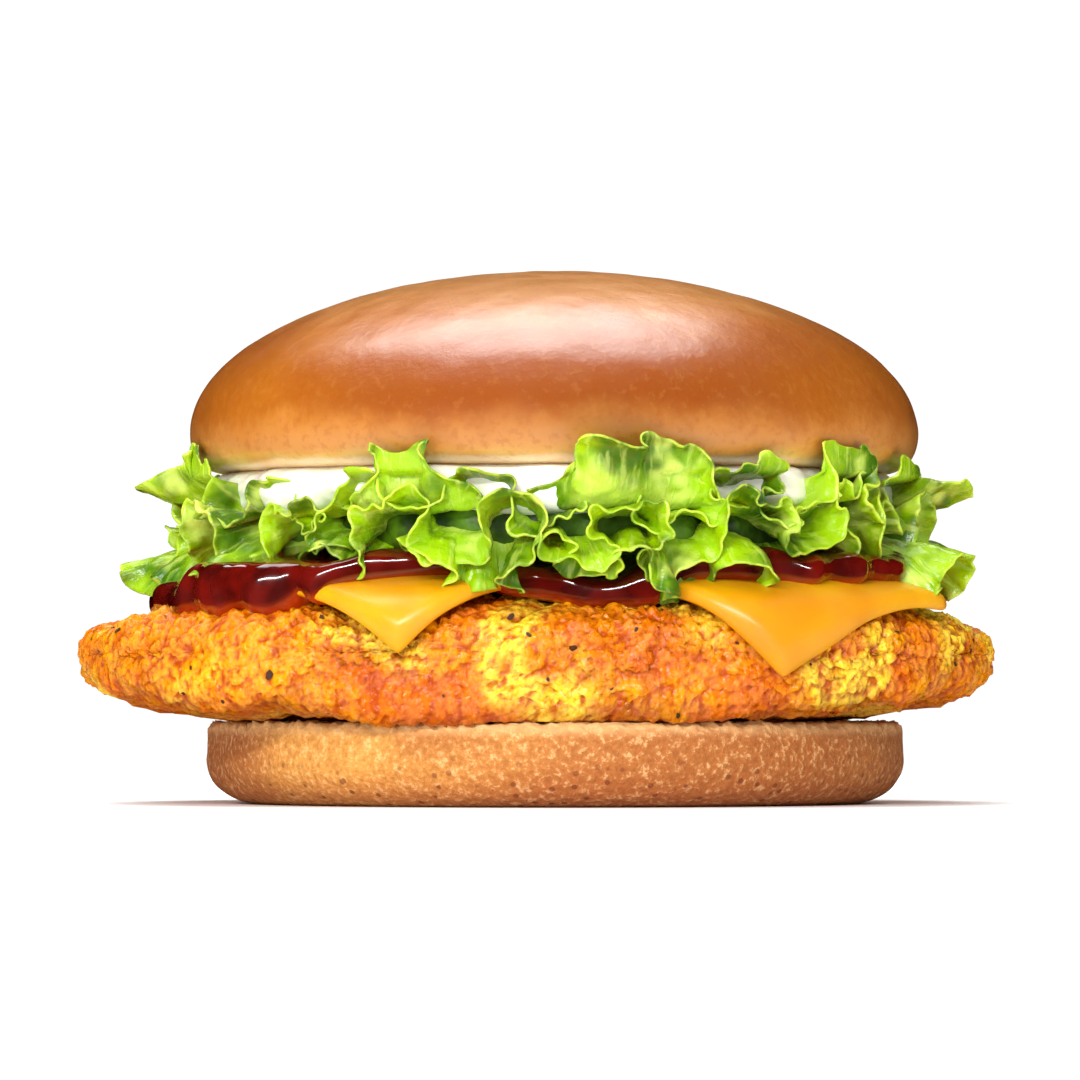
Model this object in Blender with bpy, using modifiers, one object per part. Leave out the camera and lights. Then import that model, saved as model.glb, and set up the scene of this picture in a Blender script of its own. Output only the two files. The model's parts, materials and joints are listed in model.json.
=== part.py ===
"""Chicken burger: a round bun, a fried chicken fillet longer than the bun, two cheese slices with a
corner hanging over the front, dark barbecue sauce, a bed of curly lettuce and mayonnaise.

Metres, +Z up. The origin is the centre of the heel's flat underside, and the front of the burger is -Y.
Each layer is pressed onto the ones below it, and keeps a small gap to them.
"""

import math

import bmesh
import bpy
from mathutils import Vector, noise
from mathutils.bvhtree import BVHTree

GAP = 0.0004

# Heel, the lower half of the bun: a sliced disc with a rolled lower corner and a small bevel at the cut.
HEEL_RADIUS = 0.0522
HEEL_HEIGHT = 0.0122
HEEL_CORNER = 0.0075
HEEL_CORNER_HEIGHT = 0.00675
HEEL_TOP_EDGE = 0.0010
HEEL_TOP_SLOPE = 0.0002
HEEL_BAKE = 0.0006
HEEL_BAKE_LENGTH = 0.015

# Crown, the upper half of the bun.
CROWN_RADIUS = 0.0546
CROWN_BASE_Z = 0.0490
CROWN_WIDEST_Z = 0.0552
CROWN_TOP_Z = 0.0795
CROWN_DOME_BLUNTNESS = 0.98
CROWN_BASE_BLUNTNESS = 0.09
CROWN_BASE_DROP = 0.9
CROWN_BASE_TURN = 78
CROWN_RIM = 0.0030
CROWN_BAKE = 0.0007
CROWN_BAKE_LENGTH = 0.022

# Fillet: a lens longer than the bun and a little off its centre. A high edge power is a blunt edge: the
# underside sags flat onto the heel in front and behind, and both sides taper towards the two ends.
FILLET_CENTRE_X = -0.0028
FILLET_HALF_LENGTH = 0.0683
FILLET_HALF_DEPTH = 0.0525
FILLET_CENTRE_Z = 0.0222
FILLET_TOP_HEIGHT = 0.0099
FILLET_UNDER_HEIGHT = 0.0105
FILLET_PLAN_POWER = 2.25
FILLET_TOP_POWER = 2.8
FILLET_TOP_BLUNTING = 0.6
FILLET_UNDER_POWER = 2.8
FILLET_UNDER_BLUNTING = 5.4
FILLET_LUMP = 0.0008
FILLET_LUMP_LENGTH = 0.011
FILLET_FINE_LUMP_LENGTH = 0.0052

# Cheese slices: small squares laid corner forwards.
SLICE_SIDE = 0.042
SLICE_THICKNESS = 0.0024
SLICE_LIFT = FILLET_LUMP + 2 * GAP
SLICE_CELLS = 10
SLICE_STEP_LENGTH = 0.006

# Barbecue sauce: a pool of nearly the fillet's outline, with a scalloped edge and a sloping rim.
SAUCE_TOP_Z = 0.0396
SAUCE_SHARE_OF_FILLET = 0.89
SAUCE_END_SHARE = 0.96
SAUCE_SCALLOP_SHARE = 0.035
SAUCE_RIM_DROP = 0.0035
SAUCE_BLUNTNESS = 0.45

# Lettuce: a heap whose outline is ruffled both in and out and up and down.
LETTUCE_TOP_Z = 0.0450
LETTUCE_RADIUS = 0.0600
LETTUCE_LOWEST_Z = 0.0318
LETTUCE_RUFFLE = 0.0022
LETTUCE_FRILL = 0.0016
LETTUCE_FRILLS = 23
LETTUCE_WAVE = 0.0016
LETTUCE_RIPPLE = 0.0007
LETTUCE_RIPPLES = 19
LETTUCE_BLUNTNESS = 0.35

# Mayonnaise: a round spread that reaches almost to the crown's rim.
MAYONNAISE_RADIUS = 0.0522
MAYONNAISE_SCALLOP = 0.0009
MAYONNAISE_BLUNTNESS = 0.45

# How the soft layers are laid: their thinnest place, and how far round a point they feel for what is
# below, at their rim and in their middle.
LAYER_MIN_THICKNESS = 0.0014
RIM_REACH = 0.0040
MIDDLE_REACH = 0.0090
PROBE_RINGS = 3
PROBES_A_RING = 9

# How finely the solids are faceted.
TURN_STEPS = 50
LAYER_RINGS = 14
SAUCE_SEGMENTS = 60
LETTUCE_SEGMENTS = 76
MAYONNAISE_SEGMENTS = 40
FILLET_SEGMENTS = 60
FILLET_RINGS = 20
SECTION_STEPS = 60


def clear_scene():
    for obj in list(bpy.data.objects):
        bpy.data.objects.remove(obj)


def material(name, colour, roughness):
    made = bpy.data.materials.new(name)
    made.use_nodes = True
    shader = made.node_tree.nodes["Principled BSDF"]
    shader.inputs["Base Color"].default_value = (*colour, 1.0)
    shader.inputs["Roughness"].default_value = roughness
    shader.inputs["Metallic"].default_value = 0.0
    return made


def add_object(name, mesh, finish):
    obj = bpy.data.objects.new(name, mesh)
    mesh.materials.append(finish)
    burger.objects.link(obj)
    return obj


def make_plain_mesh(obj):
    """Replaces the object's mesh with what its modifiers make of it."""
    graph = bpy.context.evaluated_depsgraph_get()
    shaped = bpy.data.meshes.new_from_object(obj.evaluated_get(graph))
    obj.modifiers.clear()
    obj.data = shaped
    shaped.shade_smooth()
    return obj


def turned(name, profile, finish):
    """A solid of revolution. Its profile runs from the top centre down the outer side to the bottom."""
    mesh = bpy.data.meshes.new(name)
    points = [(radius, 0.0, z) for radius, z in profile]
    mesh.from_pydata(points, [(i, i + 1) for i in range(len(points) - 1)], [])
    obj = add_object(name, mesh, finish)
    screw = obj.modifiers.new("Turn", "SCREW")
    screw.steps = screw.render_steps = TURN_STEPS
    screw.merge_threshold = 0.00005
    screw.use_merge_vertices = True
    return make_plain_mesh(obj)


def signed_power(value, power):
    return math.copysign(abs(value) ** power, value)


# ---------------------------------------------------------------- bun


def bake_unevenly(obj, amount, length, low_z, high_z):
    """Moves the side of a turned piece in and out between two heights, and leaves its flat faces."""
    for vertex in obj.data.vertices:
        radius = math.hypot(vertex.co.x, vertex.co.y)
        if radius < length or not low_z < vertex.co.z < high_z:
            continue
        change = 1 + amount / radius * noise.noise(vertex.co / length)
        vertex.co.x *= change
        vertex.co.y *= change


def heel_profile():
    corner_steps = 5
    points = [(0.0, HEEL_HEIGHT), (HEEL_RADIUS / 2, HEEL_HEIGHT)]
    points.append((HEEL_RADIUS - HEEL_TOP_EDGE, HEEL_HEIGHT))
    points.append((HEEL_RADIUS - HEEL_TOP_SLOPE, HEEL_HEIGHT - HEEL_TOP_EDGE))
    for step in range(corner_steps + 1):
        angle = math.radians(90) * step / corner_steps
        inward = HEEL_CORNER * (1 - math.cos(angle))
        points.append((HEEL_RADIUS - inward, HEEL_CORNER_HEIGHT * (1 - math.sin(angle))))
    points.append((HEEL_RADIUS / 2, 0.0))
    points.append((0.0, 0.0))
    return points


def crown_profile():
    dome_steps = 12
    base_steps = 4
    points = []
    for step in range(dome_steps + 1):
        angle = math.radians(90) * (1 - step / dome_steps)
        height = (CROWN_TOP_Z - CROWN_WIDEST_Z) * math.sin(angle)
        points.append((CROWN_RADIUS * math.cos(angle) ** CROWN_DOME_BLUNTNESS, CROWN_WIDEST_Z + height))
    points[0] = (0.0, CROWN_TOP_Z)
    for step in range(1, base_steps + 1):
        angle = math.radians(CROWN_BASE_TURN) * step / base_steps
        drop = (CROWN_WIDEST_Z - CROWN_BASE_Z) * math.sin(angle) ** CROWN_BASE_DROP
        points.append((CROWN_RADIUS * math.cos(angle) ** CROWN_BASE_BLUNTNESS, CROWN_WIDEST_Z - drop))
    rim = points[-1][0] - CROWN_RIM
    points.append((rim, CROWN_BASE_Z))
    points.append((rim / 2, CROWN_BASE_Z))
    points.append((0.0, CROWN_BASE_Z))
    return points


# ---------------------------------------------------------------- fillet


def fillet_edge(upper, frontness):
    """(half height, edge power) of the fillet's upper or under side: frontness is 0 at its two ends and
    1 at its front and back."""
    if upper:
        return FILLET_TOP_HEIGHT, FILLET_TOP_POWER + FILLET_TOP_BLUNTING * frontness**2
    return FILLET_UNDER_HEIGHT, FILLET_UNDER_POWER + FILLET_UNDER_BLUNTING * frontness**2


def fillet_lump(point):
    """How far the crust stands out at a point, up to FILLET_LUMP either way."""
    elsewhere = Vector((7.0, 3.0, 5.0))
    broad = noise.noise(point / FILLET_LUMP_LENGTH)
    fine = noise.noise(point / FILLET_FINE_LUMP_LENGTH + elsewhere)
    return FILLET_LUMP * max(-1.0, min(1.0, 1.1 * broad + 0.6 * fine))


def make_fillet(finish):
    """A ball pressed into a blunt-edged lens, with a lumpy crust, and flat where it lies on the heel."""
    mesh = bpy.data.meshes.new("chicken_fillet")
    bm = bmesh.new()
    bmesh.ops.create_uvsphere(bm, u_segments=FILLET_SEGMENTS, v_segments=FILLET_RINGS, radius=1.0)
    for vertex in bm.verts:
        across = math.atan2(vertex.co.y, vertex.co.x)
        up = math.asin(max(-1.0, min(1.0, vertex.co.z)))
        half_height, power = fillet_edge(up > 0, math.sin(across))
        share = max(0.0, math.cos(up)) ** (2 / power)
        x = FILLET_HALF_LENGTH * signed_power(math.cos(across), 2 / FILLET_PLAN_POWER) * share
        y = FILLET_HALF_DEPTH * signed_power(math.sin(across), 2 / FILLET_PLAN_POWER) * share
        z = half_height * signed_power(math.sin(up), 2 / power)
        point = Vector((x, y, z))
        outward = Vector((x / FILLET_HALF_LENGTH**2, y / FILLET_HALF_DEPTH**2, z / half_height**2))
        point += outward.normalized() * fillet_lump(point)
        point += Vector((FILLET_CENTRE_X, 0.0, FILLET_CENTRE_Z))
        point.z = max(point.z, HEEL_HEIGHT + GAP)
        vertex.co = point
    bmesh.ops.recalc_face_normals(bm, faces=bm.faces)
    bm.to_mesh(mesh)
    bm.free()
    mesh.shade_smooth()
    return add_object("chicken_fillet", mesh, finish)


# ---------------------------------------------------------------- cheese


def fillet_section(x, lift):
    """The fillet's top and front outline at one x, from the middle over the front edge and under it,
    held off the crust by lift: a list of (distance along it, y, z)."""
    last_angle = math.radians(153)
    nearest_end = 0.999
    across = min(nearest_end, abs(x - FILLET_CENTRE_X) / FILLET_HALF_LENGTH)
    bare = []
    for step in range(SECTION_STEPS + 1):
        angle = last_angle * step / SECTION_STEPS
        half_height, power = fillet_edge(angle < math.pi / 2, 1.0)
        height = (1 - across**power) ** (1 / power) * signed_power(math.cos(angle), 2 / power)
        share = (1 - abs(height) ** power) ** (1 / power)
        depth = max(0.0, share**FILLET_PLAN_POWER - across**FILLET_PLAN_POWER) ** (1 / FILLET_PLAN_POWER)
        bare.append((FILLET_HALF_DEPTH * depth, half_height * height))
    lifted = []
    for i, (depth, height) in enumerate(bare):
        before, after = bare[max(0, i - 1)], bare[min(SECTION_STEPS, i + 1)]
        run, drop = after[0] - before[0], before[1] - after[1]
        length = math.hypot(run, drop)
        lifted.append((depth + lift * drop / length, height + lift * run / length))
    section = []
    travelled = 0.0
    for i, (depth, height) in enumerate(lifted):
        if i:
            travelled += math.hypot(depth - lifted[i - 1][0], height - lifted[i - 1][1])
        section.append((travelled, -depth, FILLET_CENTRE_Z + height))
    return section


def on_fillet(x, forward, lift):
    """Where a point of a flat slice goes when the slice is laid on the fillet: forward is its distance
    from the fillet's middle line, measured over the crust towards the front."""
    section = fillet_section(x, lift)
    if forward <= section[0][0]:
        return Vector((x, -forward, section[0][2]))
    for (here, y, z), (there, next_y, next_z) in zip(section, section[1:]):
        if forward <= there:
            share = (forward - here) / (there - here)
            return Vector((x, y + (next_y - y) * share, z + (next_z - z) * share))
    return Vector((x, section[-1][1], section[-1][2]))


class Slice:
    """A square slice laid flat with one corner forwards: that corner's place and the way it points."""

    def __init__(self, name, corner_x, corner_forward, turn):
        self.name = name
        self.half = SLICE_SIDE / 2
        self.turn = math.radians(turn)
        reach = SLICE_SIDE / math.sqrt(2)
        self.centre_x = corner_x - reach * math.sin(self.turn)
        self.centre_forward = corner_forward - reach * math.cos(self.turn)

    def placed(self, a, b):
        """(x, forward) of the point (a, b) of the slice, whose corner (half, half) points forwards."""
        side, front = math.cos(self.turn - math.radians(45)), math.sin(self.turn - math.radians(45))
        return self.centre_x + a * side + b * front, self.centre_forward - a * front + b * side

    def depth_inside(self, x, forward):
        """How far a point lies inside the slice's outline, and negative outside it."""
        side, front = math.cos(self.turn - math.radians(45)), math.sin(self.turn - math.radians(45))
        across, along = x - self.centre_x, forward - self.centre_forward
        return self.half - max(abs(across * side - along * front), abs(across * front + along * side))


def make_slice(cheese, below, finish):
    """A square sheet draped over the fillet, and over the slice below where they cross."""
    mesh = bpy.data.meshes.new(cheese.name)
    bm = bmesh.new()
    bmesh.ops.create_grid(bm, x_segments=SLICE_CELLS, y_segments=SLICE_CELLS, size=cheese.half)
    for vertex in bm.verts:
        x, forward = cheese.placed(vertex.co.x, vertex.co.y)
        lift = SLICE_LIFT
        if below:
            near = min(1.0, max(0.0, 2 + below.depth_inside(x, forward) / SLICE_STEP_LENGTH))
            lift += (SLICE_THICKNESS + 2 * GAP) * near
        vertex.co = on_fillet(x, forward, lift)
    bmesh.ops.recalc_face_normals(bm, faces=bm.faces)
    if sum(face.normal.z for face in bm.faces) < 0:
        bmesh.ops.reverse_faces(bm, faces=bm.faces)
    bm.to_mesh(mesh)
    bm.free()
    obj = add_object(cheese.name, mesh, finish)
    thicken = obj.modifiers.new("Thickness", "SOLIDIFY")
    thicken.thickness = SLICE_THICKNESS
    thicken.offset = 1.0
    return make_plain_mesh(obj)


# ---------------------------------------------------------------- soft layers


def surface_trees(objects):
    graph = bpy.context.evaluated_depsgraph_get()
    return [BVHTree.FromObject(obj, graph) for obj in objects]


def top_of(trees, x, y, reach, otherwise):
    """The highest surface within reach of (x, y), found by dropping lines onto it in rings."""
    highest = otherwise
    for ring in range(PROBE_RINGS + 1):
        for probe in range(PROBES_A_RING if ring else 1):
            angle = 2 * math.pi / PROBES_A_RING * (probe + ring / PROBE_RINGS)
            spread = reach * ring / PROBE_RINGS
            above = Vector((x + spread * math.cos(angle), y + spread * math.sin(angle), 1.0))
            for tree in trees:
                hit = tree.ray_cast(above, Vector((0.0, 0.0, -1.0)))[0]
                if hit:
                    highest = max(highest, hit.z)
    return highest


def make_layer(name, outline, below, lowest, ceiling, bluntness, segments, finish):
    """A ball pressed flat onto what is below it and under a ceiling, out to an outline: a soft layer
    with a round rim."""
    mesh = bpy.data.meshes.new(name)
    bm = bmesh.new()
    bmesh.ops.create_uvsphere(bm, u_segments=segments, v_segments=LAYER_RINGS, radius=1.0)
    for vertex in bm.verts:
        around = math.atan2(vertex.co.y, vertex.co.x)
        up = math.asin(max(-1.0, min(1.0, vertex.co.z)))
        share = 1 - abs(up / math.radians(90)) ** 1.5
        edge_x, edge_y = outline(around)
        x, y = edge_x * share, edge_y * share
        reach = RIM_REACH + (MIDDLE_REACH - RIM_REACH) * (1 - share**4)
        low = top_of(below, x, y, reach, lowest) + GAP
        high = max(ceiling(around, share), low + LAYER_MIN_THICKNESS)
        middle, half = (low + high) / 2, (high - low) / 2
        vertex.co = Vector((x, y, middle + half * signed_power(math.sin(up), bluntness)))
    bmesh.ops.recalc_face_normals(bm, faces=bm.faces)
    bm.to_mesh(mesh)
    bm.free()
    mesh.shade_smooth()
    return add_object(name, mesh, finish)


def ring_noise(around, lobes, seed):
    """Smooth noise round a ring, with about so many lobes, from -1 to 1."""
    full_scale = 1.8
    ring_radius = lobes / 6
    return full_scale * noise.noise(Vector((math.cos(around), math.sin(around), seed)) * ring_radius)


def sauce_outline(around):
    share = SAUCE_SHARE_OF_FILLET + SAUCE_SCALLOP_SHARE * ring_noise(around, 22, 4.0)
    x = FILLET_HALF_LENGTH * SAUCE_END_SHARE * signed_power(math.cos(around), 2 / FILLET_PLAN_POWER)
    y = FILLET_HALF_DEPTH * signed_power(math.sin(around), 2 / FILLET_PLAN_POWER)
    return FILLET_CENTRE_X + x * share, y * share


def lettuce_outline(around):
    ruffle = LETTUCE_RUFFLE * ring_noise(around, 60, 1.0)
    frill = LETTUCE_FRILL * math.sin(LETTUCE_FRILLS * around + 1.3)
    radius = LETTUCE_RADIUS + ruffle + frill
    return radius * math.cos(around), radius * math.sin(around)


def sauce_ceiling(around, share):
    return SAUCE_TOP_Z - SAUCE_RIM_DROP * share**8


def lettuce_ceiling(around, share):
    wave = LETTUCE_WAVE * ring_noise(around, 45, 9.0)
    ripple = LETTUCE_RIPPLE * math.sin(LETTUCE_RIPPLES * around)
    return LETTUCE_TOP_Z + (wave + ripple) * share**6


def mayonnaise_outline(around):
    radius = MAYONNAISE_RADIUS + MAYONNAISE_SCALLOP * ring_noise(around, 26, 12.0)
    return radius * math.cos(around), radius * math.sin(around)


def mayonnaise_ceiling(around, share):
    return CROWN_BASE_Z - GAP


# ---------------------------------------------------------------- the burger

clear_scene()
burger = bpy.data.collections.new("chicken_burger")
bpy.context.scene.collection.children.link(burger)

bread = material("bread", (0.60, 0.28, 0.08), 0.75)
crust = material("glazed_crust", (0.58, 0.20, 0.03), 0.38)
breading = material("breading", (0.75, 0.26, 0.015), 0.50)
cheese = material("cheese", (0.85, 0.42, 0.02), 0.42)
barbecue = material("barbecue_sauce", (0.10, 0.008, 0.003), 0.12)
leaf = material("lettuce_leaf", (0.28, 0.45, 0.02), 0.40)
mayonnaise = material("mayonnaise", (0.78, 0.74, 0.52), 0.30)

heel = turned("bun_heel", heel_profile(), bread)
bake_unevenly(heel, HEEL_BAKE, HEEL_BAKE_LENGTH, GAP, HEEL_HEIGHT - GAP)

fillet = make_fillet(breading)

left_slice = Slice("cheese_slice_left", corner_x=-0.0225, corner_forward=0.0596, turn=-4)
right_slice = Slice("cheese_slice_right", corner_x=0.0325, corner_forward=0.0590, turn=8)
left_cheese = make_slice(left_slice, None, cheese)
right_cheese = make_slice(right_slice, left_slice, cheese)

below_sauce = surface_trees([fillet, left_cheese, right_cheese])
sauce = make_layer(
    "barbecue_sauce",
    sauce_outline,
    below_sauce,
    FILLET_CENTRE_Z,
    sauce_ceiling,
    SAUCE_BLUNTNESS,
    SAUCE_SEGMENTS,
    barbecue,
)

below_lettuce = surface_trees([fillet, left_cheese, right_cheese, sauce])
lettuce = make_layer(
    "lettuce",
    lettuce_outline,
    below_lettuce,
    LETTUCE_LOWEST_Z,
    lettuce_ceiling,
    LETTUCE_BLUNTNESS,
    LETTUCE_SEGMENTS,
    leaf,
)

below_mayonnaise = surface_trees([lettuce])
mayonnaise_layer = make_layer(
    "mayonnaise",
    mayonnaise_outline,
    below_mayonnaise,
    LETTUCE_TOP_Z,
    mayonnaise_ceiling,
    MAYONNAISE_BLUNTNESS,
    MAYONNAISE_SEGMENTS,
    mayonnaise,
)

crown = turned("bun_crown", crown_profile(), crust)
bake_unevenly(crown, CROWN_BAKE, CROWN_BAKE_LENGTH, CROWN_BASE_Z + GAP, CROWN_TOP_Z)
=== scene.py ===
"""Chicken burger: the looks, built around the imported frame.

Metres, +Z up, the front of the burger is -Y. The sections follow the burger as it is stacked, from the
heel up to the crown, and then come the floor, the lamps and the camera.
"""

import json
import math

import bmesh
import bpy
import numpy as np
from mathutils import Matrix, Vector, noise
from mathutils.bvhtree import BVHTree

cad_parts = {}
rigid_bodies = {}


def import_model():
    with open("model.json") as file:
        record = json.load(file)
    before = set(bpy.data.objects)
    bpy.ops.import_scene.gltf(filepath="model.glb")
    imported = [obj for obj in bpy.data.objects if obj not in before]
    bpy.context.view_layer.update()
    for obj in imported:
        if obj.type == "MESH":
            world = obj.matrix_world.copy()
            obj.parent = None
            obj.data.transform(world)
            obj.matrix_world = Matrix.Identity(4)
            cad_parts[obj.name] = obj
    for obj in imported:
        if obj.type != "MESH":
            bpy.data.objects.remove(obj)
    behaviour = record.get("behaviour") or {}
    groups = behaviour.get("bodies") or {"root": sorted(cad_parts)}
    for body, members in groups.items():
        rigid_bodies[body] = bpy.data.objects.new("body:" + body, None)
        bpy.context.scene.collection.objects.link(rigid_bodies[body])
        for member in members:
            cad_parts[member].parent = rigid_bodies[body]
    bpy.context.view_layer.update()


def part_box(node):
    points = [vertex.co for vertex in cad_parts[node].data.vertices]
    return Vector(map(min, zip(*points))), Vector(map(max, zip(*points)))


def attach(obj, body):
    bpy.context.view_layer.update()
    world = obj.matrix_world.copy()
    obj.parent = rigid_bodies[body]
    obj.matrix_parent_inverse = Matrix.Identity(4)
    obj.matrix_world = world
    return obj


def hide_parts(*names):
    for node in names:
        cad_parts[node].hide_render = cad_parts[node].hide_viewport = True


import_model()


# ================================================================ heel
# The lower half of a soft wheat bun, sliced through: a low round disc with a rolled lower edge, a fine
# brown baked skin with small pores, and a crumbly cut rim. It stands on its flat base.

MM = 0.001
HEEL_ROLL = 7.5 * MM
HEEL_CUT_ROUND = 0.8 * MM
HEEL_COLUMNS = 440


def colour(red, green, blue):
    """A colour written in the usual 0..255 screen values, as the linear values that a shader takes."""
    shares = [value / 255 for value in (red, green, blue)]
    return tuple(s / 12.92 if s < 0.04045 else ((s + 0.055) / 1.055) ** 2.4 for s in shares)


def spread_noise(points, length, octaves=1, shift=0.0):
    """Smooth noise from about -1 to 1 at each point, with features of about the given length."""
    offset = Vector((shift, 2.3 * shift, 5.1 * shift))
    if octaves == 1:
        return np.array([noise.noise(Vector(p) / length + offset) for p in points])
    return np.array([noise.fractal(Vector(p) / length + offset, 1.0, 2.0, octaves) for p in points])


def grains(points, length, shift=0.0):
    """Rounded grains packed together: near 1 on a grain's top and falling to 0 in the creases between."""
    offset = Vector((shift, 1.7 * shift, 3.9 * shift))
    nearest = np.array([noise.voronoi(Vector(p) / length + offset)[0][:2] for p in points])
    return np.clip((nearest[:, 1] - nearest[:, 0]) * 1.6, 0, 1) ** 0.6


def smooth_step(low, high, values):
    """0 below low and 1 above high, with a smooth rise between them."""
    share = np.clip((values - low) / (high - low), 0, 1)
    return share * share * (3 - 2 * share)


def add_piece(name, points, faces, finish):
    """A smooth-shaded mesh object of that name in the scene."""
    mesh = bpy.data.meshes.new(name)
    mesh.from_pydata([tuple(p) for p in points], [], [tuple(f) for f in faces])
    mesh.materials.append(finish)
    mesh.shade_smooth()
    obj = bpy.data.objects.new(name, mesh)
    bpy.context.scene.collection.objects.link(obj)
    return obj


def give_values(obj, name, values):
    """A named value at each point of the mesh, which the finish reads."""
    attribute = obj.data.attributes.new(name, "FLOAT", "POINT")
    attribute.data.foreach_set("value", np.asarray(values, np.float32))


def ring_faces(rings, around, first=0):
    """Quads that join rings of points into a tube, each ring closed on itself."""
    faces = []
    for ring in range(rings - 1):
        here, below = first + ring * around, first + (ring + 1) * around
        for i in range(around):
            j = (i + 1) % around
            faces.append((here + i, below + i, below + j, here + j))
    return faces


def closed_round(name, rings, finish):
    """A closed body from rings of points, the first ring round the top centre and the last round the
    bottom centre, each end closed by a fan."""
    count, around = rings.shape[:2]
    points = rings.reshape(-1, 3)
    faces = ring_faces(count, around)
    top, bottom = len(points), len(points) + 1
    points = np.vstack([points, rings[0].mean(axis=0), rings[-1].mean(axis=0)])
    last = (count - 1) * around
    faces += [(top, i, (i + 1) % around) for i in range(around)]
    faces += [(bottom, last + (i + 1) % around, last + i) for i in range(around)]
    return add_piece(name, points, faces, finish)


def turn_profile(profile, around):
    """Rings of points from a list of (radius, z), turned about the burger's axis. The front is angle 0."""
    angles = np.arange(around) * 2 * math.pi / around
    radius, z = np.array(profile).T
    x = radius[:, None] * np.sin(angles)
    y = -radius[:, None] * np.cos(angles)
    return np.stack([x, y, np.repeat(z[:, None], around, axis=1)], axis=2)


def even_profile(corners, step):
    """The same outline with points about one step apart."""
    corners = np.array(corners)
    along = np.concatenate([[0], np.cumsum(np.linalg.norm(np.diff(corners, axis=0), axis=1))])
    at = np.linspace(0, along[-1], int(along[-1] / step) + 1)
    return np.stack([np.interp(at, along, corners[:, k]) for k in range(2)], axis=1)


def radial(points):
    """Unit vectors straight out from the burger's axis."""
    flat = points * [1, 1, 0]
    return flat / np.maximum(np.linalg.norm(flat, axis=-1, keepdims=True), 1e-9)


class Finish:
    """A material's node tree, with a Principled shader at its end."""

    def __init__(self, name, roughness, **sockets):
        self.material = bpy.data.materials.new(name)
        self.material.use_nodes = True
        self.nodes = self.material.node_tree.nodes
        self.links = self.material.node_tree.links
        self.shader = self.nodes["Principled BSDF"]
        self.shader.inputs["Roughness"].default_value = roughness
        for socket, value in sockets.items():
            self.shader.inputs[socket.replace("_", " ")].default_value = value
        self.place = self.nodes.new("ShaderNodeTexCoord").outputs["Object"]

    def put(self, value, socket):
        """Links an output to a socket, or sets the socket to a number or colour."""
        if isinstance(value, bpy.types.NodeSocket):
            self.links.new(value, socket)
        elif isinstance(value, tuple) and len(value) == 3 and len(socket.default_value) == 4:
            socket.default_value = (*value, 1.0)
        else:
            socket.default_value = value

    def value(self, name):
        """A named value given to the mesh."""
        node = self.nodes.new("ShaderNodeAttribute")
        node.attribute_name = name
        return node.outputs["Fac"]

    def speckle(self, length, detail=2.0, roughness=0.5):
        """Noise from 0 to 1 with features of about the given length in metres."""
        node = self.nodes.new("ShaderNodeTexNoise")
        node.inputs["Scale"].default_value = 1 / length
        node.inputs["Detail"].default_value = detail
        node.inputs["Roughness"].default_value = roughness
        self.links.new(self.place, node.inputs["Vector"])
        return node.outputs["Fac"]

    def cells(self, length):
        """The distance to the nearest of many scattered points, about the given length apart."""
        node = self.nodes.new("ShaderNodeTexVoronoi")
        node.feature = "F1"
        node.inputs["Scale"].default_value = 1 / length
        self.links.new(self.place, node.inputs["Vector"])
        return node.outputs["Distance"]

    def between(self, value, low, high, to_low=0.0, to_high=1.0):
        """The value moved from low..high to another range, smoothly and without going past it."""
        node = self.nodes.new("ShaderNodeMapRange")
        node.interpolation_type = "SMOOTHSTEP"
        for socket, number in zip(node.inputs[1:5], (low, high, to_low, to_high)):
            socket.default_value = number
        self.put(value, node.inputs["Value"])
        return node.outputs["Result"]

    def sum(self, first, second, kind="ADD"):
        """Two values added, or joined by another kind of sum."""
        node = self.nodes.new("ShaderNodeMath")
        node.operation = kind
        self.put(first, node.inputs[0])
        self.put(second, node.inputs[1])
        return node.outputs["Value"]

    def blend(self, share, first, second, kind="MIX"):
        """One colour laid over another."""
        node = self.nodes.new("ShaderNodeMix")
        node.data_type = "RGBA"
        node.blend_type = kind
        self.put(share, node.inputs[0])
        self.put(first, node.inputs[6])
        self.put(second, node.inputs[7])
        return node.outputs[2]

    def paint(self, value):
        """Sets the colour of the surface."""
        self.put(value, self.shader.inputs["Base Color"])

    def gloss(self, value):
        """Sets the roughness of the surface."""
        self.put(value, self.shader.inputs["Roughness"])

    def bump(self, height, depth, strength=1.0, under=None):
        """Relief too fine for the mesh, depth in metres. It can lie on top of another relief."""
        node = self.nodes.new("ShaderNodeBump")
        node.inputs["Strength"].default_value = strength
        node.inputs["Distance"].default_value = depth
        self.put(height, node.inputs["Height"])
        if under is not None:
            self.links.new(under, node.inputs["Normal"])
        self.links.new(node.outputs["Normal"], self.shader.inputs["Normal"])
        return node.outputs["Normal"]


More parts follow.
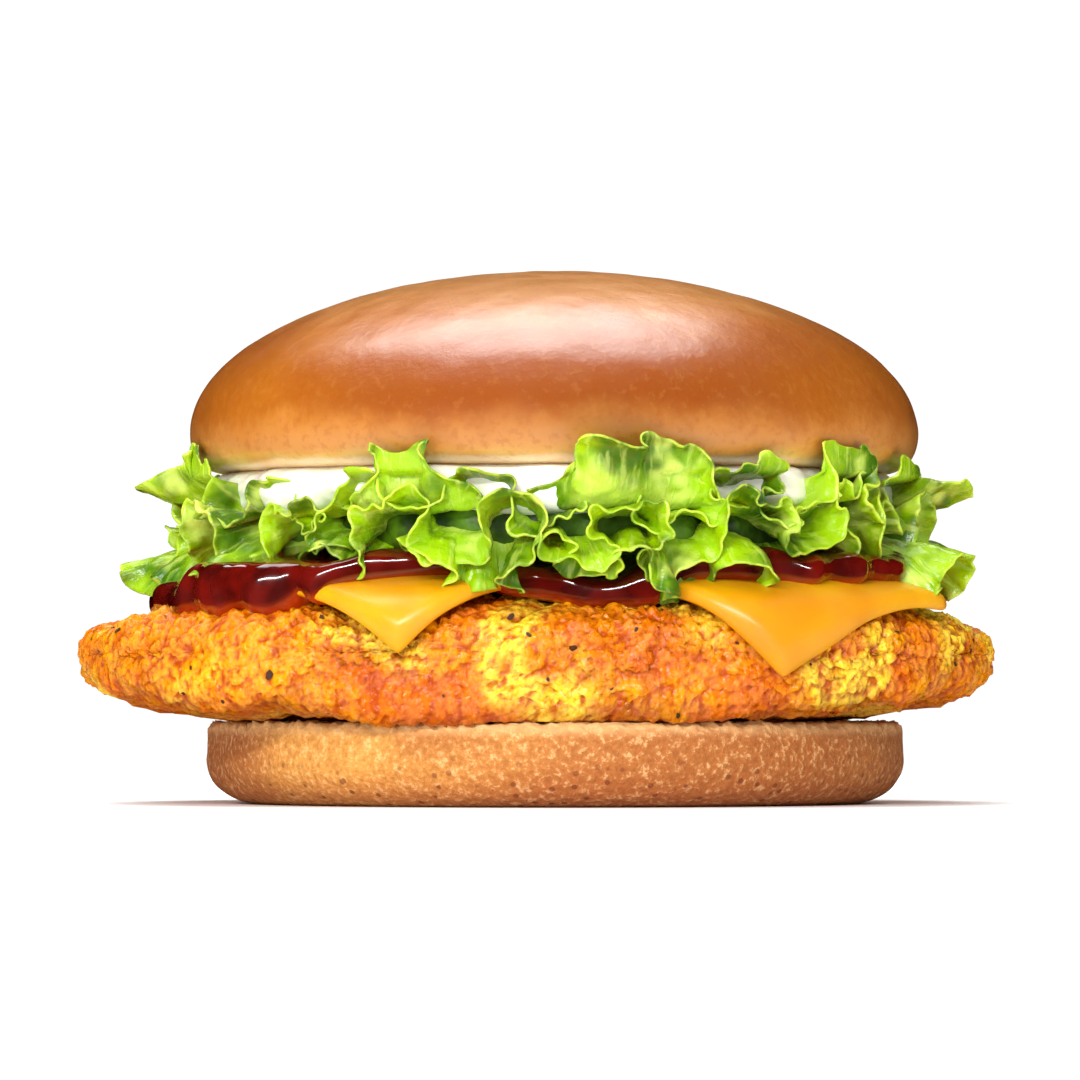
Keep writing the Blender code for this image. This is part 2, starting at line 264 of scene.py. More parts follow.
def heel_finish():
    skin = Finish("heel_skin", 0.62, Subsurface_Weight=0.1, Subsurface_Scale=0.002)
    skin.shader.inputs["Specular IOR Level"].default_value = 0.35
    crust, pale = colour(172, 100, 42), colour(216, 152, 68)
    warm, pore = colour(184, 100, 50), colour(116, 48, 16)
    grain = skin.speckle(0.0010, 3, roughness=0.7)
    # pale is painted light: a paler patch left of the front.
    base = skin.blend(skin.value("pale"), crust, pale)
    base = skin.blend(skin.between(skin.value("low"), 0.35, 1.0, 0.0, 0.6), base, warm)
    base = skin.blend(skin.between(grain, 0.34, 0.54, 0.34, 0.0), base, pore)
    base = skin.blend(skin.between(grain, 0.52, 0.68, 0.0, 0.42), base, colour(250, 208, 146))
    pores = skin.between(skin.cells(0.0023), 0.14, 0.24, 1.0, 0.0)
    pores = skin.sum(pores, skin.between(skin.value("low"), 0.1, 0.75, 0.12, 0.75), "MULTIPLY")
    base = skin.blend(pores, base, pore)
    base = skin.blend(skin.value("crumb"), base, colour(238, 190, 128))
    skin.paint(base)
    skin.gloss(skin.between(grain, 0.3, 0.7, 0.72, 0.52))
    relief = skin.bump(grain, 0.0004, 0.9)
    skin.bump(pores, 0.0003, -0.5, relief)
    return skin.material


def make_heel():
    low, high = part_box("bun_heel")
    radius = (high.x - low.x) / 2 - 0.2 * MM
    height = high.z
    cut = HEEL_CUT_ROUND
    corners = [(0.5 * MM, height), (radius - cut, height), (radius - 0.15 * MM, height - cut)]
    for step in range(13):
        angle = math.radians(90) * step / 12
        inward = HEEL_ROLL * (1 - math.cos(angle))
        corners.append((radius - inward, HEEL_ROLL * (1 - math.sin(angle)) * 0.9))
    corners.append((0.5 * MM, 0.0))
    profile = even_profile(corners, 0.5 * MM)
    inside = profile[:, 0] < 38 * MM
    keep = ~inside | (np.arange(len(profile)) % 8 == 0)
    rings = turn_profile(profile[keep], HEEL_COLUMNS)
    points = rings.reshape(-1, 3)
    height_share = points[:, 2] / height
    out = radial(points)
    from_axis = np.linalg.norm(points[:, :2], axis=1)
    side = smooth_step(40 * MM, 48 * MM, from_axis) * smooth_step(0.02, 0.12, height_share)
    swell = 0.5 * MM * spread_noise(points, 16 * MM) + 0.14 * MM * spread_noise(points, 2.6 * MM, 2, 3.0)
    points = points + out * (side * swell)[:, None]
    torn = smooth_step(0.80, 0.97, height_share) * side
    crumbs = grains(points, 1.5 * MM, 2.0)
    ragged = spread_noise(points, 1.1 * MM, 3, 8.0)
    points = points + out * (torn * MM * (0.35 * crumbs + 0.35 * ragged - 0.3))[:, None]
    points[:, 2] += torn * MM * (0.45 * ragged + 0.25 * spread_noise(points, 5 * MM, 1, 4.0) - 0.05)
    heel = closed_round("bun_heel_baked", points.reshape(rings.shape), heel_finish())
    pad = [0.0, 0.0]
    give_values(heel, "low", np.append(1 - np.clip(height_share * 1.15, 0, 1), pad))
    give_values(heel, "crumb", np.append(torn * (0.35 + 0.5 * crumbs), pad))
    # The crust is painted paler left of the front: a painted pool of light on the side the light comes from.
    round_front = np.arctan2(points[:, 0], -points[:, 1]) + 0.25 * spread_noise(points, 14 * MM, 2, 5.0)
    pale = np.exp(-(((round_front + 0.60) / 0.34) ** 2)) + 0.25 * spread_noise(points, 20 * MM, 1, 9.0)
    give_values(heel, "pale", np.append(np.clip(pale, 0, 1), pad))
    return heel


heel = make_heel()
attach(heel, "root")
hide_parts("bun_heel")


# ================================================================ fillet
# A flattened chicken fillet in seasoned breading, deep-fried: a craggy pebbled crust, golden yellow to
# orange, with painted shade that makes it redder in the hollows and underneath, and painted highlights on
# the tips of its grains. It lies on the heel and sticks out past both its sides.

fillet_low, fillet_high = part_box("chicken_fillet")
fillet_middle = Vector(((fillet_low.x + fillet_high.x) / 2, 0.0, 22.2 * MM))
fillet_half = Vector(((fillet_high.x - fillet_low.x) / 2 - 0.3 * MM, 52.5 * MM, 0.0))
FILLET_PLAN_POWER = 2.25
FILLET_RISE = 9.9 * MM
FILLET_SAG = 10.5 * MM
FILLET_COLUMNS = 940
FILLET_GRAIN_STEP = 0.42 * MM


def signed_power(values, power):
    """The size of each value raised to a power, with its sign kept."""
    return np.sign(values) * np.abs(values) ** power


def fillet_edge(upper, frontness):
    """(half height, edge power) of the fillet above or below its middle: it sags flat onto the heel in
    front and behind, and rises towards its two ends."""
    half_height = np.where(upper, FILLET_RISE, FILLET_SAG)
    power = np.where(upper, 2.8 + 0.6 * frontness**2, 3.2 + 5.0 * frontness**2)
    return half_height, power


def fillet_surface(around, up):
    """Points of the fillet's smooth form, for angles around it from the right and up from its edge."""
    half_height, power = fillet_edge(up > 0, np.sin(around))
    share = np.maximum(0, np.cos(up)) ** (2 / power)
    x = fillet_half.x * signed_power(np.cos(around), 2 / FILLET_PLAN_POWER) * share
    y = fillet_half.y * signed_power(np.sin(around), 2 / FILLET_PLAN_POWER) * share
    z = half_height * signed_power(np.sin(up), 2 / power)
    return np.stack([x + fillet_middle.x, y, z + fillet_middle.z], axis=-1)


def breading_finish():
    crust = Finish("fried_breading", 0.34, Subsurface_Weight=0.15, Subsurface_Scale=0.002)
    crust.shader.inputs["Specular IOR Level"].default_value = 0.55
    gold, orange, deep = colour(226, 144, 0), colour(216, 110, 0), colour(172, 62, 0)
    shade_red_brown, tip_highlight_cream, yellow = colour(126, 40, 2), colour(250, 190, 50), colour(246, 206, 50)
    base = crust.blend(crust.between(crust.speckle(0.014, 3), 0.4, 0.6), orange, gold)
    base = crust.blend(crust.value("golden"), base, yellow)
    base = crust.blend(crust.between(crust.speckle(0.005, 2), 0.3, 0.47, 0.5, 0.0), base, deep)
    proud = crust.value("proud")
    # Painted shade: the hollows between the crust's grains are painted deep orange.
    base = crust.blend(crust.between(proud, 0.04, 0.46, 0.9, 0.0), base, deep)
    # Painted shade: redder in the valleys and the gaps between strands, and on the underside.
    base = crust.blend(crust.between(crust.value("crease"), 0.2, 1.0, 0.0, 0.7), base, shade_red_brown)
    base = crust.blend(crust.value("under"), base, shade_red_brown)
    fine = crust.speckle(0.0010, 3, roughness=0.6)
    base = crust.blend(crust.between(fine, 0.32, 0.5, 0.55, 0.0), base, deep)
    # Painted highlights: the tips of the grains are painted pale cream, as glints.
    tips = crust.sum(crust.between(proud, 0.5, 0.85), crust.between(fine, 0.5, 0.64), "MULTIPLY")
    base = crust.blend(crust.sum(tips, 0.35, "MULTIPLY"), base, tip_highlight_cream)
    crust.paint(base)
    crust.gloss(crust.between(crust.speckle(0.003, 2), 0.35, 0.65, 0.2, 0.5))
    relief = crust.bump(crust.between(crust.cells(0.0012), 0.0, 0.8, 1.0, 0.0), 0.0005, 0.7)
    crust.bump(fine, 0.0004, 0.8, relief)
    return crust.material


def fillet_rows():
    """Angles up the fillet's side for its rows of points: close together over the sides that show, and
    wide apart in the middle of its top and underside."""
    samples = 4000
    angles = np.linspace(math.pi / 2 - 0.001, 0.001 - math.pi / 2, samples)
    section = fillet_surface(np.full(samples, -math.pi / 2), angles)
    steps = np.linalg.norm(np.diff(section, axis=0), axis=1)
    inner = smooth_step(46 * MM, 20 * MM, np.abs(section[1:, 1]))
    below = smooth_step(13.5 * MM, 12.4 * MM, section[1:, 2])
    spacing = FILLET_GRAIN_STEP * (1 + 5 * inner) * (1 + 4 * below)
    count = np.concatenate([[0], np.cumsum(steps / spacing)])
    return np.interp(np.arange(0.5, count[-1]), count, angles)


def make_fillet():
    around = np.arange(FILLET_COLUMNS) * 2 * math.pi / FILLET_COLUMNS
    # The first row is the top one, and the rows run the other way round than those of turned pieces.
    rings = fillet_surface(*np.meshgrid(around, fillet_rows()))[:, ::-1]
    smooth = rings.reshape(-1, 3)
    outward = (smooth - np.array(fillet_middle)) / [fillet_half.x**2, fillet_half.y**2, (10 * MM) ** 2]
    outward /= np.linalg.norm(outward, axis=1, keepdims=True)
    # Muscle bundles run slantwise under the crust, with soft valleys between them.
    slanted = smooth @ np.array([[1.0, 0.0, 0.35], [0.0, 1.0, 0.0], [-0.6, 0.0, 0.8]])
    broad = spread_noise(slanted, 17 * MM, 2, 1.0)
    valley = np.exp(-((spread_noise(slanted, 24 * MM, 1, 14.0) / 0.09) ** 2))
    lumps = grains(smooth + 0.8 * MM * broad[:, None], 5.0 * MM, 6.0)
    pebbles = grains(smooth + 0.3 * MM * spread_noise(smooth, 2 * MM, 1, 7.0)[:, None], 1.9 * MM, 3.0)
    fine = spread_noise(smooth, 1.2 * MM, 2, 5.0)
    strands = np.abs(spread_noise(slanted * [1, 1, 2.5], 4.2 * MM, 2, 11.0))
    craggy = smooth_step(-0.35, 0.3, spread_noise(smooth, 19 * MM, 1, 9.0))
    crust_height = 1.1 * broad - 0.9 * valley + (0.3 + 0.5 * craggy) * (lumps - 0.6)
    crust_height += (0.5 + 0.4 * craggy) * (pebbles - 0.6) - 0.7 * craggy * smooth_step(0.12, 0.0, strands)
    crust_height = np.minimum(crust_height + 0.3 * fine, 1.15)
    # Its lower edge swells out over the heel's rim and hangs down a little past it.
    hem = smooth_step(16.5 * MM, 13 * MM, smooth[:, 2]) * smooth_step(44 * MM, 50 * MM, np.abs(smooth[:, 1]))
    crust_height += hem * (0.9 - 0.6 * crust_height)
    points = smooth + outward * (MM * crust_height)[:, None]
    points[:, 2] -= hem * MM * (0.7 + 0.5 * fine)
    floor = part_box("bun_heel")[1].z + 0.1 * MM
    on_heel = np.hypot(points[:, 0], points[:, 1]) < 52 * MM
    points[:, 2] = np.where(on_heel, np.maximum(points[:, 2], floor), points[:, 2])
    fillet = closed_round("chicken_fillet_fried", points.reshape(rings.shape), breading_finish())
    # proud, crease and under place the painted shade and the painted highlights of the crust's finish.
    proud = 0.5 + 0.3 * (lumps - 0.6) + 0.6 * (pebbles - 0.6) + 0.3 * fine
    crease = np.clip(0.45 * valley + 0.7 * craggy * smooth_step(0.1, 0.0, strands), 0, 1)
    under = smooth_step(17 * MM, 12.4 * MM, smooth[:, 2] + 1.5 * MM * broad) * 0.6
    give_values(fillet, "proud", np.append(proud, [0.5, 0.5]))
    give_values(fillet, "crease", np.append(crease, [0.0, 0.0]))
    golden = 0.9 * smooth_step(0.14, 0.5, spread_noise(points, 13 * MM, 2, 463.98))
    give_values(fillet, "golden", np.append(golden, [0.0, 0.0]))
    give_values(fillet, "under", np.append(under, [0.0, 0.0]))
    return fillet


def tree_of(obj):
    """The piece's surface, for finding where a ray meets it."""
    mesh = obj.data
    corners = [v.co.copy() for v in mesh.vertices]
    return BVHTree.FromPolygons(corners, [tuple(p.vertices) for p in mesh.polygons])


fillet = make_fillet()
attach(fillet, "root")
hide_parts("chicken_fillet")
fillet_tree = tree_of(fillet)


# ================================================================ pepper
# Coarse ground black pepper from the seasoning: flat angular flakes up to a millimetre and a half,
# fried into the crust.

PEPPER_FRONT = [
    (-33.5, 27.2, 1.3), (-41.0, 19.0, 1.5), (-64.0, 25.6, 1.2), (-6.4, 27.2, 1.4), (-3.9, 24.7, 1.1),
    (2.4, 22.8, 1.4), (11.5, 25.5, 1.0), (6.8, 27.4, 0.7), (-1.1, 18.3, 0.8), (17.4, 13.2, 1.1),
    (25.9, 23.5, 0.8), (49.4, 25.2, 0.9), (58.5, 20.7, 0.9), (-53.8, 16.4, 0.8), (-52.6, 20.1, 0.7),
    (-47.9, 15.2, 0.8), (8.0, 17.0, 0.7), (36.5, 20.5, 0.6), (-16.0, 16.0, 0.6),
]  # x, z and size in millimetres
PEPPER_ROUND = 150  # draws over the sides and the back, of which some miss the crust's side


def flake(centre, normal, size, draw):
    """An angular flake of five or six sides lying on the crust: its points and faces."""
    side = normal.orthogonal().normalized()
    other = normal.cross(side)
    turn = draw.uniform(0, 2 * math.pi)
    corners = draw.integers(5, 8)
    long_share = draw.uniform(0.45, 0.9)
    top, bottom = [], []
    for i in range(corners):
        angle = 2 * math.pi * i / corners + draw.uniform(-0.25, 0.25)
        reach = size / 2 * draw.uniform(0.75, 1.15)
        a, b = reach * math.cos(angle), reach * long_share * math.sin(angle)
        along_side = a * math.cos(turn) - b * math.sin(turn)
        along_other = a * math.sin(turn) + b * math.cos(turn)
        flat = side * along_side + other * along_other
        top.append(centre + flat * 0.8 + normal * size * 0.16)
        bottom.append(centre + flat - normal * size * 0.15)
    points = top + bottom
    faces = [tuple(range(corners)), tuple(reversed(range(corners, 2 * corners)))]
    faces += [(i, i + corners, (i + 1) % corners + corners, (i + 1) % corners) for i in range(corners)]
    return points, faces


def gather(name, parts, finish):
    """One flat-shaded mesh of many small separate bodies, each given as its points and faces."""
    points, faces = [], []
    for part_points, part_faces in parts:
        first = len(points)
        points += part_points
        faces += [tuple(first + i for i in face) for face in part_faces]
    obj = add_piece(name, points, faces, finish)
    bm = bmesh.new()
    bm.from_mesh(obj.data)
    bmesh.ops.recalc_face_normals(bm, faces=bm.faces)
    bm.to_mesh(obj.data)
    bm.free()
    obj.data.shade_flat()
    return obj


def pepper_finish():
    pepper = Finish("black_pepper", 0.6)
    pepper.paint(pepper.blend(pepper.speckle(0.0006, 2), colour(24, 12, 6), colour(92, 50, 20)))
    pepper.bump(pepper.speckle(0.0003, 2), 0.0001, 0.6)
    return pepper.material


def make_pepper():
    draw = np.random.default_rng(5)
    parts = []
    for x, z, size in PEPPER_FRONT:
        hit, normal, _, _ = fillet_tree.ray_cast(Vector((x * MM, -0.2, z * MM)), Vector((0, 1, 0)))
        if hit:
            parts.append(flake(hit, normal, size * MM, draw))
    for _ in range(PEPPER_ROUND):
        around, up = draw.uniform(0, 2 * math.pi), draw.uniform(-1.0, 1.2)
        start = Vector(fillet_surface(np.array(around), np.array(up))) - fillet_middle
        outside = fillet_middle + start * 1.6
        hit, normal, _, _ = fillet_tree.ray_cast(outside, -start)
        facing_front = hit is not None and hit.y < -20 * MM
        if hit and not facing_front and hit.z > 14 * MM:
            parts.append(flake(hit, normal, draw.uniform(0.4, 1.2) * MM, draw))
    return gather("pepper_flakes", parts, pepper_finish())


pepper = make_pepper()
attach(pepper, "root")


# ================================================================ cheese
# Two square slices of processed cheese laid corner forwards on the hot fillet, so that the front corner
# of each softens and hangs down over the crust. The right slice lies on the left one.

SLICE_SIDE = 42 * MM
SLICE_THICKNESS = 2.4 * MM
SLICE_CELLS = 84
SLICE_REST = 1.25 * MM  # how high a slice rides over the smooth form, on the tips of the crust
SLICE_TIP_LIFT = 0.5 * MM
SLICE_WAVE = 0.35 * MM


def crust_section(x, lift):
    """The fillet's outline at one x, from its middle over the front edge and down, held off the crust by
    lift: the distance along it, y and z."""
    steps = 120
    across = min(0.999, abs(x - fillet_middle.x) / fillet_half.x)
    angle = np.linspace(0, math.pi * 0.82, steps + 1)
    half_height, power = fillet_edge(angle < math.pi / 2, 1.0)
    height = (1 - across**power) ** (1 / power) * signed_power(np.cos(angle), 2 / power)
    share = (1 - np.abs(height) ** power) ** (1 / power)
    plan = FILLET_PLAN_POWER
    depth = fillet_half.y * np.maximum(0, share**plan - across**plan) ** (1 / plan)
    line = np.stack([-depth, fillet_middle.z + half_height * height], axis=1)
    run = np.gradient(line, axis=0)
    run /= np.maximum(np.linalg.norm(run, axis=1, keepdims=True), 1e-9)
    line = line + lift * np.stack([run[:, 1], -run[:, 0]], axis=1)
    travelled = np.concatenate([[0], np.cumsum(np.linalg.norm(np.diff(line, axis=0), axis=1))])
    return travelled, line[:, 0], line[:, 1]


def on_crust(x, forward, lift):
    """The point at x, that far forward over the crust from the middle, held off it by lift."""
    travelled, y, z = crust_section(x, lift)
    if forward <= 0:
        return x, -forward, z[0]
    return x, np.interp(forward, travelled, y), np.interp(forward, travelled, z)


class Slice:
    """Where a square slice lies: its front corner's place and the way it points."""

    def __init__(self, name, corner_x, corner_forward, turn, under=None):
        self.name, self.under = name, under
        self.half = SLICE_SIDE / 2
        self.turn = math.radians(turn)
        reach = SLICE_SIDE / math.sqrt(2)
        self.centre_x = corner_x - reach * math.sin(self.turn)
        self.centre_forward = corner_forward - reach * math.cos(self.turn)
        self.side = math.cos(self.turn - math.radians(45))
        self.front = math.sin(self.turn - math.radians(45))

    def placed(self, a, b):
        """(x, forward) of a place in the slice, given along its two sides from its centre."""
        x = self.centre_x + a * self.side + b * self.front
        return x, self.centre_forward - a * self.front + b * self.side

    def depth_inside(self, x, forward):
        """How far inside the slice's edge a place is. It is negative outside."""
        across, along = x - self.centre_x, forward - self.centre_forward
        a, b = across * self.side - along * self.front, across * self.front + along * self.side
        return self.half - max(abs(a), abs(b))

    def point(self, a, b, height):
        """A point of the slice, at a height from 0 at its underside to its thickness."""
        x, forward = self.placed(a, b)
        lift = SLICE_REST + height
        if self.under:
            near = smooth_step(-6 * MM, 0.5 * MM, self.under.depth_inside(x, forward))
            lift += (SLICE_THICKNESS + 0.2 * MM) * near
        to_corner = math.hypot(self.half - a, self.half - b)
        lift += SLICE_TIP_LIFT * smooth_step(14 * MM, 0.0, to_corner)
        lift += SLICE_WAVE * noise.noise(Vector((a, b, self.turn)) / (11 * MM))
        return on_crust(x, forward, lift)


def make_slice(cheese, finish):
    """The slice as a sheet with rounded edges: a top grid, an underside grid and rims between them."""
    rim = SLICE_THICKNESS / 2
    flat = np.linspace(-cheese.half + rim, cheese.half - rim, SLICE_CELLS)
    points, faces = [], []
    for height in (SLICE_THICKNESS, 0.0):
        points += [cheese.point(a, b, height) for b in flat for a in flat]
    n = SLICE_CELLS
    for j in range(n - 1):
        for i in range(n - 1):
            k = j * n + i
            faces.append((k, k + 1, k + n + 1, k + n))
            faces.append((n * n + k, n * n + k + n, n * n + k + n + 1, n * n + k + 1))
    loop = [(i, 0) for i in range(n)] + [(n - 1, j) for j in range(1, n)]
    loop += [(i, n - 1) for i in range(n - 2, -1, -1)] + [(0, j) for j in range(n - 2, 0, -1)]
    rings = [[j * n + i for i, j in loop]]
    for step in range(1, 6):
        angle = math.pi * step / 6
        ring = []
        for i, j in loop:
            out = Vector(((i == n - 1) - (i == 0), (j == n - 1) - (j == 0)))
            out = out.normalized() * rim * math.sin(angle)
            ring.append(len(points))
            points.append(cheese.point(flat[i] + out.x, flat[j] + out.y, rim + rim * math.cos(angle)))
        rings.append(ring)
    rings.append([n * n + j * n + i for i, j in loop])
    for upper, lower in zip(rings, rings[1:]):
        for i in range(len(loop)):
            j = (i + 1) % len(loop)
            faces.append((upper[i], lower[i], lower[j], upper[j]))
    return add_piece(cheese.name + "_melted", points, faces, finish)


def cheese_finish():
    cheese = Finish("soft_cheese", 0.34, Subsurface_Weight=0.2, Subsurface_Scale=0.003)
    cheese.shader.inputs["Specular IOR Level"].default_value = 0.7
    amber, yellow, fleck = colour(208, 132, 0), colour(224, 164, 4), colour(214, 124, 2)
    base = cheese.blend(cheese.between(cheese.speckle(0.02, 2), 0.35, 0.65), amber, yellow)
    base = cheese.blend(cheese.between(cheese.speckle(0.003, 2), 0.4, 0.7, 0.0, 0.15), base, fleck)
    cheese.paint(base)
    cheese.gloss(cheese.between(cheese.speckle(0.006, 2), 0.3, 0.7, 0.3, 0.42))
    cheese.bump(cheese.speckle(0.0022, 2), 0.00012, 0.35)
    return cheese.material


cheese_skin = cheese_finish()
left_slice = Slice("cheese_slice_left", -22.5 * MM, 59.8 * MM, -4)
right_slice = Slice("cheese_slice_right", 32.5 * MM, 59.2 * MM, 8, left_slice)
slices = []
for cheese in (left_slice, right_slice):
    piece = make_slice(cheese, cheese_skin)
    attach(piece, "root")
    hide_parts(cheese.name)
    slices.append(piece)


# ================================================================ sauce
# Thick dark barbecue sauce spooned over the cheese and fillet: one wet pool with a rounded, uneven edge
# that has run to the front, deep red-brown and orange-red where it thins out on the crust.

SAUCE_TOP = 39.5  # millimetres, as are the other sizes of the pool
SAUCE_CREST = 39.9
SAUCE_HALF_WIDTH = 56.6
SAUCE_HALF_DEPTH = 46.6
SAUCE_BEAD = 4.2
SAUCE_COLUMNS = 620

below_sauce = [fillet_tree] + [tree_of(piece) for piece in slices]


def highest(trees, x, y, otherwise):
    """The highest surface straight below a point."""
    found = [tree.ray_cast(Vector((x, y, 1.0)), Vector((0, 0, -1)))[0] for tree in trees]
    return max([hit.z for hit in found if hit] + [otherwise])


def smooth_round(values, reach):
    """Evens out values that go round a closed ring."""
    weights = np.hanning(2 * reach + 1)
    padded = np.concatenate([values[-reach:], values, values[:reach]])
    return np.convolve(padded, weights / weights.sum(), "valid")


def ring_noise(angles, lobes, shift):
    """Smooth noise round a ring with about so many lobes, from -1 to 1."""
    size = lobes / 6
    full_scale = 1.8
    ring = [Vector((math.cos(a) * size, math.sin(a) * size, shift)) for a in angles]
    return np.array([full_scale * noise.noise(place) for place in ring])


def sauce_finish():
    sauce = Finish("barbecue_sauce_wet", 0.12, Coat_Weight=1.0, Coat_Roughness=0.04)
    sauce.shader.inputs["Subsurface Weight"].default_value = 0.15
    sauce.shader.inputs["Subsurface Scale"].default_value = 0.002
    thick, thin = colour(62, 6, 4), colour(176, 50, 8)
    base = sauce.blend(sauce.between(sauce.speckle(0.006, 2), 0.35, 0.65), thick, colour(98, 12, 6))
    base = sauce.blend(sauce.value("thin"), base, thin)
    sauce.paint(base)
    sauce.gloss(sauce.between(sauce.speckle(0.005, 2), 0.35, 0.7, 0.08, 0.22))
    sauce.bump(sauce.speckle(0.0045, 2), 0.0006, 0.35)
    return sauce.material


def covered(places):
    """The height in millimetres of what lies under the sauce at each place."""
    return np.array([highest(below_sauce, x * MM, y * MM, 24 * MM) for x, y in places]) / MM


def make_sauce():
    count = SAUCE_COLUMNS
    angles = np.arange(count) * 2 * math.pi / count
    across, along = np.sin(angles), np.cos(angles)
    wander = ring_noise(angles, 26, 4.0) * 1.3 + ring_noise(angles, 60, 7.0) * 0.7
    rim_x = -3.0 + (SAUCE_HALF_WIDTH + wander) * signed_power(across, 0.6)
    rim = np.stack([rim_x, -(SAUCE_HALF_DEPTH + wander) * signed_power(along, 0.6)], axis=1)
    foot = smooth_round(covered(rim * 0.985) - 0.5, 8)
    swell = 5.0 + 1.3 * ring_noise(angles, 30, 2.0) + 0.8 * ring_noise(angles, 70, 5.0)
    crest = np.minimum(foot + np.maximum(swell, 3.0), SAUCE_CREST)
    crest = np.maximum(crest, np.maximum(covered(rim * 0.94), covered(rim * 0.88)) + 1.6)
    crest = smooth_round(np.maximum(crest, foot + 2.2), 6)
    rows, thin = [], []
    for share in (0.02, 0.3, 0.6, 0.8):
        flat = rim * share * 0.86
        rows.append(np.column_stack([flat, np.full(count, SAUCE_TOP)]))
        thin.append(np.zeros(count))
    out = rim / np.linalg.norm(rim, axis=1, keepdims=True)
    for step in range(19):
        angle = math.radians(90 - 200 * step / 18)
        reach = signed_power(math.cos(angle), 0.75) if angle > -math.pi / 2 else -0.3
        rise = signed_power(math.sin(angle), 0.85)
        middle, half = (crest + foot) / 2, (crest - foot) / 2
        flat = rim + out * SAUCE_BEAD * (reach - 1.0)
        rows.append(np.column_stack([flat, middle + half * rise]))
        thin.append(np.full(count, smooth_step(-0.35, -1.0, rise)))
    for share in (0.8, 0.4, 0.02):
        under = rim * share
        rows.append(np.column_stack([under, np.minimum(foot, 33.0) - 1.0]))
        thin.append(np.zeros(count))
    rings = np.array(rows) * MM
    points = rings.reshape(-1, 3)
    points[:, 2] += 0.25 * MM * spread_noise(points, 6 * MM, 2, 2.0)
    sauce = closed_round("barbecue_sauce_pool", points.reshape(rings.shape), sauce_finish())
    give_values(sauce, "thin", np.append(np.concatenate(thin), [0.0, 0.0]))
    return sauce


sauce = make_sauce()
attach(sauce, "root")
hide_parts("barbecue_sauce")


# ================================================================ lettuce
# Curly green leaf lettuce, torn and laid in loose overlapping leaves: thin crisp blades whose margins
# have grown so much longer than their roots that they ruffle, curl over and end in small teeth, with a
# pale rim along the margin that is partly a paler margin and partly a painted highlight.

LEAF_CIRCLE = 52.0  # the radius in millimetres at which distances along a leaf are measured
LEAF_ROWS = 23
FRONT_STEP, BACK_STEP = 0.5, 0.62  # millimetres between points along a margin


def curve_through(knots, at):
    """Smooth values through (place, value) knots, flat at each knot. Also the share of the way between
    two knots and their distance apart."""
    places, values = np.array(knots).T
    i = np.clip(np.searchsorted(places, at) - 1, 0, len(places) - 2)
    gap = places[i + 1] - places[i]
    share = np.clip((at - places[i]) / gap, 0, 1)
    return values[i] + (values[i + 1] - values[i]) * (1 - np.cos(math.pi * share)) / 2, share, gap


def ruffle(knots, at, overhang):
    """A wave through its crests and hollows, drawn out sideways at each so that its flanks overhang:
    (sideways shift, height)."""
    height, share, gap = curve_through(knots, at)
    return overhang * gap / (2 * math.pi) * np.sin(2 * math.pi * share), height


def wave_knots(draw, start, end, gap, height):
    """Crests and hollows by turns, unevenly spaced and of uneven height."""
    knots, place, sign = [], start - gap, 1
    while place < end + 2 * gap:
        knots.append((place, sign * height * draw.uniform(0.35, 1.3)))
        place += gap * draw.uniform(0.6, 1.5)
        sign = -sign
    return knots


def length_along(x, h):
    """The length travelled along a wavy line, at each of its points."""
    return np.concatenate([[0], np.cumsum(np.hypot(np.diff(x), np.diff(h)))])


